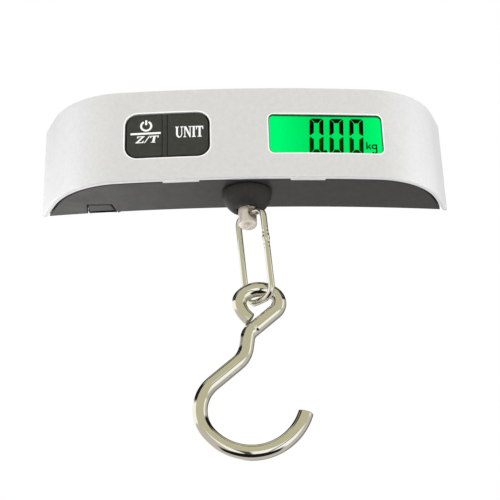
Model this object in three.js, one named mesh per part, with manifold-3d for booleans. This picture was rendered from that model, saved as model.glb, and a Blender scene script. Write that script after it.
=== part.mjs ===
// Digital luggage scale: a palm-held weighing handle with a bowed silver front cover, two keys, a backlit
// display, a load beam across the middle, and a swivel stud that carries a wire link and a load hook.
// Millimetres. X is right, Y is back, Z is up. x = y = 0 is the load axis, z = 0 the flat top of the handle.

import * as THREE from 'three';
import { mergeVertices } from 'three/addons/utils/BufferGeometryUtils.js';
import Module from 'manifold-3d';

const wasm = await Module();
wasm.setup();

const DEG = Math.PI / 180;
const GAP = 0.3; // clearance between neighbouring pieces
const BOND = 0.05; // clearance of a piece that is glued or soldered on
const PAST = 5; // how far a cutting solid reaches beyond what it cuts

// ---------- Handle, seen from above ----------
const FRONT_Y = -10.6; // crown of the bowed front
const BACK_Y = 10.6; // middle of the hollow back
const TIP_Y = 14.85; // back edge at both tips
const FRONT_R = 426; // long shallow bow of the front
const FRONT_TURN = 5.1 * DEG;
const CORNER_R = 25.2; // round that leads into each end
const CORNER_TURN = 64.7 * DEG;
const END_R = 200; // nearly straight flank of each end
const BACK_R = 454; // hollow of the back
// ---------- Handle, seen from the front ----------
const TOP_Z = 0;
const BOTTOM_Z = -28.98;
const MIDDLE_Z = -14.6;
const COVER_TOP_Z = 0.4;
const COVER_BOTTOM_Z = -29.28;
// ---------- Walls ----------
const COVER_WALL = 1.3;
const SHELL_OFFSET = COVER_WALL + GAP;
const SHELL_WALL = 1.5;
const FLOOR_WALL = 1.6;
const REAR_WALL = 1.8;
// ---------- Display stack: depths are measured back from the front surface ----------
const WINDOW = { x: 23.5, z: -14.95, width: 33.8, height: 12.8, radius: 1.6 };
const WINDOW_TURN = 3.4 * DEG; // follows the bow of the front
const GLASS_WIDTH = 36.6;
const GLASS_HEIGHT = 15.2;
const LENS = { front: 0.8, step: 2.25, back: 2.95, flange: 3 };
const GLASS = { front: 3.25, back: 4.55 };
const BACKLIGHT = { front: 4.85, back: 6.0, trim: 2.4 };
const HOLDER = { front: 4.75, seat: 6.25, back: 6.95, lip: 3 };
const RIBBON = { thick: 0.25, half: 3.4, path: [[6.9, -5.95], [2.9, -6.2], [-3.2, -5.0], [-6.8, -4.85]] };
// ---------- Keys ----------
const KEYS = { x: -23.1, z: -14.65, width: 24.4, height: 14.1, radius: 3.5 };
const KEYS_TURN = -3.1 * DEG;
const KEY_SPLIT = -0.75; // middle of the rib between the keys, from the middle of the pair
const KEY_GAP = 1.5;
const CAP = { front: 0.15, flangeFront: 1.85, back: 2.5, flange: 0.7, peg: 1.6, pegBack: 3.0 };
const MAT = { front: 4.0, back: 4.6, edge: 0.8, rib: 0.7, ribFront: 0.5 };
const KEY_DOME = { top: 3.7, topR: 1.5, footR: 2.3 };
// ---------- Posts, screws and board ----------
const CASE_SCREWS = [[-29.5, -4.6], [48, -4.6], [-29.5, -24.6], [48, -24.6]];
const CASE_POST = { radius: 2.1, back: 8.6 };
const CASE_BOSS = { radius: 2.4, bore: 1.5, sinkR: 2.3, sink: 1.4 };
const BOARD_SCREWS = [[-7.4, -8.6], [-7.4, -20.6]];
const BOARD_POST_R = 1.5;
const BOARD_HOLE_R = 1.3;
const BOARD = { left: -37.5, right: -5.2, front: -4.3, back: -3.3, low: -22.2, high: -7 };
const PILOT_R = 0.9;
const CHIP = { x: -31, radius: 3.2, tall: 0.7 };
const CAPACITOR = { left: [-35.4, -30.4], width: 2.2, depth: 1.3, low: -21.8, high: -20.4 };
const LED = { left: -36.2, right: -34.6, depth: 0.8, low: -9.2, high: -7.8 };
// ---------- Load train ----------
const BEAM = { half: 26, thick: 4.8, low: -19, high: -10 };
const BEAM_SCREWS = [-21.5, 21.5];
const BEAM_POST = { radius: 2.6, bore: 1.5 };
const BEAM_BORES = [-12.5, -7.5, 7.5, 12.5]; // round ends of the two bending windows
const BEAM_BORE_R = 2.4;
const BEAM_SLOT = { middles: [-10, 10], half: 2.6, tall: 1.8 };
const STUD_BORE_R = 1.9;
const GAUGE = { left: -12.6, right: -7.4, half: 1.6, thick: 0.25 };
const STUD_R = 2.7;
const STUD_END_Z = -40.9;
const STUD_NECK_R = 1.6;
const STUD_FLANGE_R = 3.4;
const WASHER = { inner: 2.0, outer: 4.2, tall: 0.7 };
const NUT = { inner: 1.9, outer: 3.2, tall: 2.6 };
const EYE_Z = -36.1; // cross hole of the stud
const EYE_R = 1.45;
const EYE_FLARE_R = 2.1;
const EYE_TURN = -48 * DEG;
const DOME_R = 7.4;
const DOME_END_Z = -34.8;
const DOME_ROUND = 0.9;
// ---------- Wire link ----------
const LINK = { wire: 0.95, width: 10.6, height: 27.1, topBend: 2.9, lowBend: 3.5, shift: 1.0 };
const LINK_TOP_Z = -36.25;
const LINK_LEAN = -0.03;
const LINK_TILT = 0.0742;
const WELD_DROP = 9.5; // weld bead below the top of the link
const WELD = { half: 1.6, end: 0.8, shoulder: 0.9, crown: 1.2 };
// ---------- Load hook: a bending table, from the cut end of the eye to the tip ----------
const HOOK_WIRE_R = 2.15;
const HOOK_START = { x: -0.44, z: -68.84, heading: -50 }; // heading in degrees, clockwise from straight up
const HOOK_BENDS = [
  { radius: 8, to: -25.6 },
  { run: 0.8 },
  { radius: 3.3, to: 45 },
  { radius: 6.6, to: 135 },
  { radius: 3.3, to: 230.5 },
  { run: 8.7 },
  { radius: 3.65, to: 189 },
  { run: 2.8 },
  { radius: 7, to: 230.7 },
  { run: 9.1 },
  { radius: 9.85, to: 138 },
  { radius: 15.6, to: 18 },
];
// ---------- Battery bay ----------
const CELL = { x: -43, z: MIDDLE_Z, radius: 10, cap: 8.6, front: 6.4, back: 9.6 };
const SPRING = { reach: 5, low: 5.5, lift: 0.45, thick: 0.25, half: 2 };
const CLIP = { thick: 0.4, front: 5.4, back: 9.4, half: 2.5 };
const TRAY = { inner: 10.4, outer: 10.9, front: 4.6, back: 8.8, floor: 0.7 };
const DOOR = { left: -53.6, right: -33.6, top: -3.2, bottom: -27.1, thick: 1.6 };
const DOOR_HOOKS = [[-52.4, -49.6], [-37.6, -34.8]];
const TONGUE = { front: 7.2, frontLeft: -47.6, frontRight: -40.9, backLeft: -48.0, backRight: -39.4 };

// ---------- Solids ----------
const body = (geometry) => {
  const bare = geometry.index ? geometry.toNonIndexed() : geometry.clone();
  bare.deleteAttribute('normal');
  bare.deleteAttribute('uv');
  const merged = mergeVertices(bare, 1e-4);
  const make = (triVerts) =>
    new wasm.Manifold(new wasm.Mesh({
      numProp: 3,
      vertProperties: new Float32Array(merged.attributes.position.array),
      triVerts,
    }));
  const order = new Uint32Array(merged.index.array);
  const solid = make(order);
  if (solid.volume() > 0) return solid;
  for (let i = 0; i < order.length; i += 3) {
    [order[i + 1], order[i + 2]] = [order[i + 2], order[i + 1]];
  }
  return make(order);
};
const placed = (geometry, { move = [0, 0, 0], turn = [0, 0, 0] } = {}) =>
  body(geometry.clone().applyMatrix4(new THREE.Matrix4().compose(
    new THREE.Vector3(...move),
    new THREE.Quaternion().setFromEuler(new THREE.Euler(...turn)),
    new THREE.Vector3(1, 1, 1),
  )));
const box = (x0, x1, y0, y1, z0, z1) =>
  placed(new THREE.BoxGeometry(x1 - x0, y1 - y0, z1 - z0), {
    move: [(x0 + x1) / 2, (y0 + y1) / 2, (z0 + z1) / 2],
  });
const prism = (points, z0, z1) =>
  placed(new THREE.ExtrudeGeometry(new THREE.Shape(points), { depth: z1 - z0, bevelEnabled: false }), {
    move: [0, 0, z0],
  });
// A shape drawn on the front (x right, z up), made solid from y0 back to y1.
const plate = (shape, y0, y1) =>
  placed(new THREE.ExtrudeGeometry(shape, { depth: y1 - y0, bevelEnabled: false, curveSegments: 5 }), {
    move: [0, y1, 0],
    turn: [Math.PI / 2, 0, 0],
  });
const turned = (profile, { at = [0, 0, 0], axis = 'z', sides = 24 } = {}) => {
  const turns = { z: [Math.PI / 2, 0, 0], y: [0, 0, 0], x: [0, 0, -Math.PI / 2] };
  return placed(new THREE.LatheGeometry(profile.map(([r, h]) => new THREE.Vector2(r, h)), sides), {
    move: at,
    turn: turns[axis],
  });
};
const rod = (radius, from, to, at, axis = 'z', sides = 24) =>
  turned([[0, from], [radius, from], [radius, to], [0, to]], { at, axis, sides });

const roundedRect = (width, height, radius) => {
  const w = width / 2;
  const h = height / 2;
  const shape = new THREE.Shape();
  shape.absarc(w - radius, h - radius, radius, 0, Math.PI / 2);
  shape.absarc(-w + radius, h - radius, radius, Math.PI / 2, Math.PI);
  shape.absarc(-w + radius, -h + radius, radius, Math.PI, 1.5 * Math.PI);
  shape.absarc(w - radius, -h + radius, radius, 1.5 * Math.PI, 2 * Math.PI);
  return shape;
};

// ---------- Scene graph ----------
const scale = new THREE.Group();
const materials = {
  silver: { color: 0xd9d9d8, roughness: 0.38, metalness: 0.55 },
  black: { color: 0x2a2a29, roughness: 0.6, metalness: 0 },
  key: { color: 0x3f403c, roughness: 0.7, metalness: 0 },
  lens: { color: 0x9fe8b4, roughness: 0.1, metalness: 0 },
  glow: { color: 0x12e66b, roughness: 0.4, metalness: 0 },
  white: { color: 0xe6e6e0, roughness: 0.5, metalness: 0 },
  board: { color: 0x1f6b3a, roughness: 0.5, metalness: 0 },
  steel: { color: 0xc9c6bd, roughness: 0.2, metalness: 1 },
  aluminium: { color: 0xb4b6b8, roughness: 0.4, metalness: 1 },
  foil: { color: 0xc9803a, roughness: 0.5, metalness: 0.2 },
};
const add = (name, solid, material) => {
  const mesh = solid.getMesh();
  const geometry = new THREE.BufferGeometry();
  geometry.setAttribute('position', new THREE.BufferAttribute(new Float32Array(mesh.vertProperties), 3));
  geometry.setIndex(new THREE.BufferAttribute(new Uint32Array(mesh.triVerts), 1));
  geometry.computeVertexNormals();
  const piece = new THREE.Mesh(geometry, new THREE.MeshStandardMaterial(materials[material]));
  piece.name = name;
  scale.add(piece);
};

// ---------- Outline of the handle ----------
const ARC_STEPS = { front: 5, corner: 12, flank: 2, back: 14 };
const HALF_LENGTH = 62;
// Right half of the front outline, from the crown to the tip, moved inwards by `inset`.
const arcCentres = () => {
  const first = [0, FRONT_Y + FRONT_R];
  const reach = FRONT_R - CORNER_R;
  const second = [first[0] + reach * Math.sin(FRONT_TURN), first[1] - reach * Math.cos(FRONT_TURN)];
  const grow = END_R - CORNER_R;
  const third = [second[0] - grow * Math.sin(CORNER_TURN), second[1] + grow * Math.cos(CORNER_TURN)];
  return [first, second, third];
};
const halfFront = (inset, tipY = TIP_Y) => {
  const [first, second, third] = arcCentres();
  const last = Math.acos((third[1] - tipY) / (END_R - inset));
  const points = [];
  const arc = (centre, radius, from, to, steps) => {
    for (let i = 0; i <= steps; i += 1) {
      const a = from + ((to - from) * i) / steps;
      points.push([centre[0] + radius * Math.sin(a), centre[1] - radius * Math.cos(a)]);
    }
  };
  arc(first, FRONT_R - inset, 0, FRONT_TURN, ARC_STEPS.front);
  points.pop();
  arc(second, CORNER_R - inset, FRONT_TURN, CORNER_TURN, ARC_STEPS.corner);
  points.pop();
  arc(third, END_R - inset, CORNER_TURN, last, ARC_STEPS.flank);
  return points;
};
const vectors = (points) => points.map(([x, y]) => new THREE.Vector2(x, y));
const frontLine = (inset, tipY) => {
  const half = halfFront(inset, tipY);
  return [...half.slice(1).reverse().map(([x, y]) => [-x, y]), ...half];
};
const backY = (x, inset = 0) => BACK_Y + BACK_R - Math.sqrt((BACK_R + inset) ** 2 - x * x);
const backLine = (reach, inset) => {
  const points = [];
  for (let i = 0; i <= ARC_STEPS.back; i += 1) {
    const x = reach - (2 * reach * i) / ARC_STEPS.back;
    points.push([x, backY(x, inset)]);
  }
  return points;
};
// The strip between two insets of the front outline, as tall as z0 to z1.
const band = (outer, inner, z0, z1) => prism(
  vectors([...frontLine(outer), ...frontLine(inner).reverse()]), z0, z1,
);
// How far back the front outline, moved inwards by `inset`, lies at x.
const surfaceY = (x, inset = 0) => {
  const [first, second] = arcCentres();
  const reach = Math.abs(x);
  const bow = reach < first[0] + (FRONT_R - inset) * Math.sin(FRONT_TURN);
  const [centre, radius] = bow ? [first, FRONT_R - inset] : [second, CORNER_R - inset];
  return centre[1] - Math.sqrt(radius ** 2 - (reach - centre[0]) ** 2);
};
// Places a solid, made round the origin with y = 0 as its front, on the bowed front at (x, z).
const onFront = (solid, place, angle) =>
  solid.rotate([0, 0, angle / DEG]).translate([place.x, surfaceY(place.x), place.z]);

// ---------- Snap tabs that hold the cover on the shell ----------
const TAB_SPANS = [[-24.6, -14.0], [12.6, 22.8]];
const TAB_DEPTH = 0.9;
const TAB_TALL = 0.8;
const TAB_ROOT = 0.2; // how far a tab runs into the cover's wall
const tabs = (slack) => {
  const root = COVER_WALL - TAB_ROOT - slack;
  const strip = band(root, COVER_WALL + TAB_DEPTH + slack, COVER_BOTTOM_Z, COVER_TOP_Z);
  const tall = TAB_TALL + slack;
  const parts = TAB_SPANS.flatMap(([from, to]) => [
    box(from - slack, to + slack, FRONT_Y - PAST, 0, COVER_BOTTOM_Z, COVER_BOTTOM_Z + tall),
    box(from - slack, to + slack, FRONT_Y - PAST, 0, COVER_TOP_Z - tall, COVER_TOP_Z),
  ]);
  return strip.intersect(wasm.Manifold.union(parts));
};

// An opening through the front for the display or the keys, `grow` larger all round.
const frontOpening = (place, angle, grow, radius) => {
  const outline = roundedRect(place.width + 2 * grow, place.height + 2 * grow, radius);
  return onFront(plate(outline, -PAST, PAST), place, angle);
};

const frontCover = () => band(0, COVER_WALL, COVER_BOTTOM_Z, COVER_TOP_Z)
  .add(tabs(0))
  .subtract(frontOpening(WINDOW, WINDOW_TURN, 0, WINDOW.radius))
  .subtract(frontOpening(KEYS, KEYS_TURN, GAP, KEYS.radius + GAP));

// ---------- Housing ----------
const SHELL_OPENING = { window: 1.8, windowRadius: 1, keys: 1.5, keysRadius: 4 };
const POST_ROOT = 0.7; // how far a post runs into the front wall
const COLLAR_SEAT_GAP = 0.8;

const housingShell = () => {
  const tip = halfFront(SHELL_OFFSET).at(-1)[0];
  const outline = [...frontLine(SHELL_OFFSET), ...backLine(tip - GAP, 0)];
  const outer = prism(vectors(outline), BOTTOM_Z, TOP_Z);
  const room = frontLine(SHELL_OFFSET + SHELL_WALL, TIP_Y + 1);
  const inner = prism(vectors(room), BOTTOM_Z + FLOOR_WALL, TOP_Z - FLOOR_WALL);
  const within = prism(vectors(frontLine(SHELL_OFFSET + POST_ROOT)), BOTTOM_Z, TOP_Z);
  const beamPostLow = BOTTOM_Z + POST_ROOT;
  const posts = wasm.Manifold.union([
    ...CASE_SCREWS.map(([x, z]) => rod(CASE_POST.radius, FRONT_Y, CASE_POST.back, [x, 0, z], 'y', 14)),
    ...BOARD_SCREWS.map(([x, z]) => rod(BOARD_POST_R, FRONT_Y, BOARD.front - GAP, [x, 0, z], 'y', 12)),
    ...BEAM_SCREWS.map((x) => rod(BEAM_POST.radius, beamPostLow, BEAM.low - GAP, [x, 0, 0], 'z', 16)),
  ]);
  const openings = [
    frontOpening(WINDOW, WINDOW_TURN, SHELL_OPENING.window, SHELL_OPENING.windowRadius),
    frontOpening(KEYS, KEYS_TURN, SHELL_OPENING.keys, SHELL_OPENING.keysRadius),
    tabs(GAP),
    ...CASE_SCREWS.map(([x, z]) => rod(PILOT_R + GAP, 0, CASE_POST.back + 1, [x, 0, z], 'y', 12)),
    ...BOARD_SCREWS.map(([x, z]) =>
      rod(PILOT_R, surfaceY(x, SHELL_OFFSET + SHELL_WALL), 0, [x, 0, z], 'y', 10)),
    ...BEAM_SCREWS.map((x) => rod(BEAM_POST.bore, BOTTOM_Z + 2 * FLOOR_WALL, BEAM.low, [x, 0, 0], 'z', 14)),
    rod(STUD_R + COLLAR_SEAT_GAP, BOTTOM_Z - 1, BOTTOM_Z + 2 * FLOOR_WALL, [0, 0, 0], 'z', 28),
    tongueShape(GAP, BOTTOM_Z - 1, BOTTOM_Z + FLOOR_WALL + 1),
  ];
  return outer.subtract(inner).add(posts.intersect(within)).subtract(wasm.Manifold.union(openings));
};

// The latch tongue of the battery door, which fills a notch in the back edge of the underside.
const tongueShape = (slack, z0, z1) => prism(vectors([
  [TONGUE.frontLeft - slack, TONGUE.front - slack],
  [TONGUE.frontRight + slack, TONGUE.front - slack],
  [TONGUE.backRight + slack, TIP_Y + 2],
  [TONGUE.backLeft - slack, TIP_Y + 2],
]), z0, z1);

// A piece of the hollow back wall, between two insets of the back line.
const backPlate = (outerInset, innerInset, x0, x1, z0, z1) => {
  const outline = [
    ...backLine(HALF_LENGTH, outerInset),
    ...backLine(HALF_LENGTH, innerInset).reverse(),
  ];
  return prism(vectors(outline), z0, z1).intersect(box(x0, x1, 0, TIP_Y + PAST, z0 - 1, z1 + 1));
};

const rearCover = () => {
  const low = BOTTOM_Z + FLOOR_WALL + GAP;
  const high = TOP_Z - FLOOR_WALL - GAP;
  const back = TIP_Y + PAST;
  const room = prism(vectors(frontLine(SHELL_OFFSET + SHELL_WALL + GAP, TIP_Y + 1)), low - 1, high + 1);
  const wall = backPlate(0, REAR_WALL, -HALF_LENGTH, HALF_LENGTH, low, high).intersect(room);
  const bosses = CASE_SCREWS.map(([x, z]) =>
    rod(CASE_BOSS.radius, CASE_POST.back + GAP, backY(x, 1), [x, 0, z], 'y', 16));
  const holes = [
    box(DOOR.left - GAP, DOOR.right + GAP, 0, back, DOOR.bottom - PAST, DOOR.top + GAP),
    ...CASE_SCREWS.map(([x, z]) => rod(CASE_BOSS.bore, 0, back, [x, 0, z], 'y', 14)),
    ...CASE_SCREWS.map(([x, z]) =>
      rod(CASE_BOSS.sinkR, backY(x) - CASE_BOSS.sink, back, [x, 0, z], 'y', 18)),
  ];
  return wall.add(wasm.Manifold.union(bosses)).subtract(wasm.Manifold.union(holes));
};

const batteryDoor = () => {
  const panel = backPlate(0, DOOR.thick, DOOR.left, DOOR.right, DOOR.bottom, DOOR.top);
  const hookThick = 0.9;
  const hookLow = DOOR.top - 2;
  const hooks = DOOR_HOOKS.flatMap(([from, to]) => {
    const face = backY((from + to) / 2, REAR_WALL) - GAP;
    const root = backY(DOOR.left, DOOR.thick) + 0.2;
    return [
      box(from, to, face - hookThick, face, hookLow, DOOR.top + 1.2),
      box(from, to, face - hookThick, root, hookLow, DOOR.top - hookThick),
    ];
  });
  const across = [-HALF_LENGTH, HALF_LENGTH];
  const foot = tongueShape(0, BOTTOM_Z, BOTTOM_Z + FLOOR_WALL - 0.2)
    .intersect(backPlate(0, BACK_Y, ...across, BOTTOM_Z - 1, BOTTOM_Z + PAST));
  const neck = tongueShape(-GAP, BOTTOM_Z + 0.5, DOOR.bottom + 1)
    .intersect(backPlate(0, DOOR.thick, ...across, BOTTOM_Z, DOOR.bottom + 2));
  return wasm.Manifold.union([panel, ...hooks, foot, neck]);
};

// A cross-headed screw along an axis: head at `head`, tip at `tip`.
const SCREW = { point: 0.8, edge: 0.3, slotHalf: 0.325, slotReach: 0.7, sides: 12 };
const screw = ({ at, axis, head, headTall, headR, shankR, tip }) => {
  const under = head - headTall;
  const whole = turned([
    [0, tip], [shankR / 2, tip], [shankR, tip + SCREW.point], [shankR, under],
    [headR, under], [headR, head - SCREW.edge], [headR - SCREW.edge, head], [0, head],
  ], { at, axis, sides: SCREW.sides });
  const arm = headR * SCREW.slotReach;
  const span = [head - headTall * SCREW.slotReach, head + 1];
  const cut = (halfA, halfB) => (axis === 'y'
    ? box(at[0] - halfA, at[0] + halfA, span[0], span[1], at[2] - halfB, at[2] + halfB)
    : box(at[0] - halfA, at[0] + halfA, at[1] - halfB, at[1] + halfB, span[0], span[1]));
  return whole.subtract(cut(arm, SCREW.slotHalf)).subtract(cut(SCREW.slotHalf, arm));
};

// ---------- Display stack ----------
const displayPiece = (solid) => onFront(solid, WINDOW, WINDOW_TURN);
const CORNER = 0.4;
const slab = (width, height, radius, y0, y1) => plate(roundedRect(width, height, radius), y0, y1);
const lens = () => {
  const { width, height, radius } = WINDOW;
  const flange = slab(width + LENS.flange, height + LENS.flange, radius / 2, LENS.step, LENS.back);
  const pane = slab(width - 2 * GAP, height - 2 * GAP, radius - GAP, LENS.front, LENS.step + GAP);
  return displayPiece(flange.add(pane));
};
const glass = () => displayPiece(slab(GLASS_WIDTH, GLASS_HEIGHT, CORNER, GLASS.front, GLASS.back));
const backlight = () => displayPiece(
  slab(GLASS_WIDTH - BACKLIGHT.trim, GLASS_HEIGHT, CORNER, BACKLIGHT.front, BACKLIGHT.back)
    .translate([BACKLIGHT.trim / 2, 0, 0]),
);
// An open frame with a seat for the backlight, a window behind it and a notch for the ribbon.
const holder = () => displayPiece(
  slab(GLASS_WIDTH + 2.4, GLASS_HEIGHT + 2.6, 1, HOLDER.front, HOLDER.back)
    .subtract(slab(GLASS_WIDTH + 2 * GAP, GLASS_HEIGHT + 2 * GAP, CORNER, 0, HOLDER.seat))
    .subtract(slab(GLASS_WIDTH - 2 * HOLDER.lip, GLASS_HEIGHT - 5, CORNER, 0, HOLDER.back + 1))
    .subtract(box(-25, -16, 4.3, 6.0, -RIBBON.half - 0.5, RIBBON.half + 0.5)),
);
const ribbon = () => {
  const outline = [...RIBBON.path, ...RIBBON.path.toReversed().map(([x, y]) => [x, y + RIBBON.thick])];
  return prism(vectors(outline), WINDOW.z - RIBBON.half, WINDOW.z + RIBBON.half);
};

// ---------- Keys ----------
const keysPiece = (solid) => onFront(solid, KEYS, KEYS_TURN);
// Middle of one key, from the middle of the pair: side -1 is the left key, 1 the right one.
const keyMiddle = (side) => ((side * KEYS.width) / 2 + KEY_SPLIT) / 2;
const keyOutline = (side, grow, y0, y1) => {
  const whole = plate(roundedRect(KEYS.width + 2 * grow, KEYS.height + 2 * grow, KEYS.radius + grow), y0, y1);
  const edge = KEY_SPLIT + (side * KEY_GAP) / 2;
  const ends = [edge, side * KEYS.width].sort((a, b) => a - b);
  return whole.intersect(box(...ends, y0 - 1, y1 + 1, -KEYS.height, KEYS.height));
};
const keyCap = (side) => keysPiece(wasm.Manifold.union([
  keyOutline(side, 0, CAP.front, CAP.back - 0.1),
  keyOutline(side, CAP.flange, CAP.flangeFront, CAP.back),
  rod(CAP.peg, CAP.back - 0.2, CAP.pegBack, [keyMiddle(side), 0, 0], 'y', 16),
]));
const keypadMat = () => {
  const low = MAT.front + 0.2;
  const dome = [[0, KEY_DOME.top], [KEY_DOME.topR, KEY_DOME.top], [KEY_DOME.footR, low], [0, low]];
  const domes = [-1, 1].map((side) => turned(dome, { at: [keyMiddle(side), 0, 0], axis: 'y', sides: 18 }));
  const half = MAT.rib / 2;
  const reach = KEYS.height / 2 - 0.2;
  const rib = box(KEY_SPLIT - half, KEY_SPLIT + half, MAT.ribFront, low, -reach, reach);
  const sheet = slab(KEYS.width + 2 * MAT.edge, KEYS.height + 2 * MAT.edge, 3, MAT.front, MAT.back);
  return keysPiece(wasm.Manifold.union([sheet, rib, ...domes]));
};

const mainBoard = () => {
  const holes = BOARD_SCREWS.map(([x, z]) =>
    rod(BOARD_HOLE_R, BOARD.front - 1, BOARD.back + 1, [x, 0, z], 'y', 12));
  return box(BOARD.left, BOARD.right, BOARD.front, BOARD.back, BOARD.low, BOARD.high)
    .subtract(wasm.Manifold.union(holes));
};

// ---------- Load train ----------
const loadBeam = () => {
  const half = BEAM.thick / 2;
  const middle = (BEAM.low + BEAM.high) / 2;
  const slotHalf = BEAM_SLOT.tall / 2;
  const holes = [
    ...BEAM_BORES.map((x) => rod(BEAM_BORE_R, -PAST, PAST, [x, 0, middle], 'y', 20)),
    ...BEAM_SLOT.middles.map((x) =>
      box(x - BEAM_SLOT.half, x + BEAM_SLOT.half, -PAST, PAST, middle - slotHalf, middle + slotHalf)),
    ...BEAM_SCREWS.map((x) =>
      rod(BEAM_POST.bore + GAP, BEAM.low - 1, BEAM.high + 1, [x, 0, 0], 'z', 16)),
    rod(STUD_BORE_R, BEAM.low - 1, BEAM.high + 1, [0, 0, 0], 'z', 20),
  ];
  return box(-BEAM.half, BEAM.half, -half, half, BEAM.low, BEAM.high).subtract(wasm.Manifold.union(holes));
};
// A half ball cut flat at its foot, round the stud.
const studCollar = () => {
  const inner = STUD_R + GAP;
  const top = BOTTOM_Z - GAP;
  const footAngle = Math.acos((BOTTOM_Z - DOME_END_Z) / DOME_R);
  const turn = Math.PI / 2 - footAngle - 0.1;
  const steps = 9;
  const profile = [[inner, top]];
  for (let i = 0; i <= steps; i += 1) {
    const a = Math.PI / 2 - (turn * i) / steps;
    profile.push([DOME_R * Math.sin(a), Math.min(BOTTOM_Z - DOME_R * Math.cos(a), top)]);
  }
  profile.push([DOME_R * Math.sin(footAngle) - DOME_ROUND, DOME_END_Z], [inner, DOME_END_Z], [inner, top]);
  return turned(profile, { sides: 36 });
};
const hookStud = () => {
  const seat = BEAM.low - 1.2;
  const flange = seat - 1.2;
  const top = BEAM.high + 5.2;
  const profile = [
    [0, STUD_END_Z], [1.2, STUD_END_Z + 0.12], [2.1, STUD_END_Z + 0.6], [STUD_R, STUD_END_Z + 1.6],
    [STUD_R, flange - 0.2], [STUD_FLANGE_R, flange], [STUD_FLANGE_R, seat], [STUD_NECK_R, seat],
    [STUD_NECK_R, top], [0, top],
  ];
  const reach = 4;
  const straight = 1.5;
  const flare = EYE_FLARE_R + 1.3;
  const hole = turned([
    [0, -reach], [flare, -reach], [EYE_R, -straight], [EYE_R, straight], [flare, reach], [0, reach],
  ], { axis: 'x', sides: 20 }).rotate([0, 0, EYE_TURN / DEG]).translate([0, 0, EYE_Z]);
  return turned(profile, { sides: 32 }).subtract(hole);
};
const ring = ({ inner, outer, tall }, low, sides) => turned([
  [inner, low], [outer, low], [outer, low + tall], [inner, low + tall], [inner, low],
], { sides });

// A wire path made of straight runs and circular bends in one plane.
class BentWire extends THREE.Curve {
  constructor(start, bends) {
    super();
    this.pieces = [];
    let { x, z, heading } = start;
    let total = 0;
    for (const bend of bends) {
      const from = heading * DEG;
      if (bend.run) {
        this.pieces.push({ x, z, from, length: bend.run, at: total });
        x += bend.run * Math.sin(from);
        z += bend.run * Math.cos(from);
        total += bend.run;
      } else {
        const to = bend.to * DEG;
        const way = Math.sign(to - from);
        const length = bend.radius * Math.abs(to - from);
        this.pieces.push({ x, z, from, length, at: total, way, radius: bend.radius });
        x += way * bend.radius * (Math.cos(from) - Math.cos(to));
        z += way * bend.radius * (Math.sin(to) - Math.sin(from));
        heading = bend.to;
        total += length;
      }
    }
    this.total = total;
  }

  getPoint(t, target = new THREE.Vector3()) {
    const s = t * this.total;
    const piece = this.pieces.findLast((p) => p.at <= s) ?? this.pieces[0];
    const along = s - piece.at;
    if (!piece.way) {
      return target.set(piece.x + along * Math.sin(piece.from), 0, piece.z + along * Math.cos(piece.from));
    }
    const to = piece.from + (piece.way * along) / piece.radius;
    return target.set(
      piece.x + piece.way * piece.radius * (Math.cos(piece.from) - Math.cos(to)),
      0,
      piece.z + piece.way * piece.radius * (Math.sin(to) - Math.sin(piece.from)),
    );
  }
}
const wire = (path, radius, steps, sides) => {
  const section = new THREE.Shape(Array.from({ length: sides }, (_, i) => {
    const a = (i * 2 * Math.PI) / sides;
    return new THREE.Vector2(radius * Math.cos(a), radius * Math.sin(a));
  }));
  return body(new THREE.ExtrudeGeometry(section, { steps, extrudePath: path, bevelEnabled: false }));
};

// The link is drawn upright round the middle of its top, then leant, tilted and turned into the stud's hole.
const wireLink = () => {
  const { width, height, topBend, lowBend } = LINK;
  const side = width / 2;
  const cut = 0.1; // half of the join that the weld bead closes
  const path = new BentWire({ x: side, z: -WELD_DROP - cut, heading: 180 }, [
    { run: height - WELD_DROP - cut - lowBend },
    { radius: lowBend, to: 270 },
    { run: width - 2 * lowBend },
    { radius: lowBend, to: 360 },
    { run: height - lowBend - topBend },
    { radius: topBend, to: 450 },
    { run: width - 2 * topBend },
    { radius: topBend, to: 540 },
    { run: WELD_DROP - cut - topBend },
  ]);
  const { half, end, shoulder, crown } = WELD;
  const bead = turned([
    [0, -half], [end, -half], [crown - 0.05, -shoulder], [crown, 0], [crown - 0.05, shoulder],
    [end, half], [0, half],
  ], { at: [side, 0, -WELD_DROP], sides: 12 });
  return wire(path, LINK.wire, 64, 8).add(bead);
};
const hangLink = (solid) => {
  const shift = [LINK.shift * Math.cos(EYE_TURN), LINK.shift * Math.sin(EYE_TURN), LINK_TOP_Z];
  return solid
    .rotate([0, LINK_LEAN / DEG, 0])
    .rotate([LINK_TILT / DEG, 0, 0])
    .rotate([0, 0, EYE_TURN / DEG])
    .translate(shift);
};

// ---------- Battery bay ----------
const batteryTray = () => turned([
  [0, TRAY.front], [TRAY.outer, TRAY.front], [TRAY.outer, TRAY.back], [TRAY.inner, TRAY.back],
  [TRAY.inner, TRAY.front + TRAY.floor], [0, TRAY.front + TRAY.floor],
], { at: [CELL.x, 0, CELL.z], axis: 'y', sides: 30 });
const coinCell = () => turned([
  [0, CELL.front], [CELL.cap, CELL.front], [CELL.cap, CELL.front + GAP], [CELL.radius, CELL.front + 2 * GAP],
  [CELL.radius, CELL.back - GAP], [CELL.radius - GAP, CELL.back], [0, CELL.back],
], { at: [CELL.x, 0, CELL.z], axis: 'y', sides: 30 });
const cellSpring = () => {
  const { reach, low, lift, thick, half } = SPRING;
  const leaf = [
    [-reach, low], [0, low], [reach, low + lift],
    [reach, low + lift + thick], [0, low + thick], [-reach, low + thick],
  ];
  return prism(vectors(leaf.map(([x, y]) => [x + CELL.x, y])), CELL.z - half, CELL.z + half);
};
const cellClip = () => {
  const edge = CELL.x + TRAY.outer + GAP;
  return box(edge, edge + CLIP.thick, CLIP.front, CLIP.back, CELL.z - CLIP.half, CELL.z + CLIP.half);
};

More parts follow.
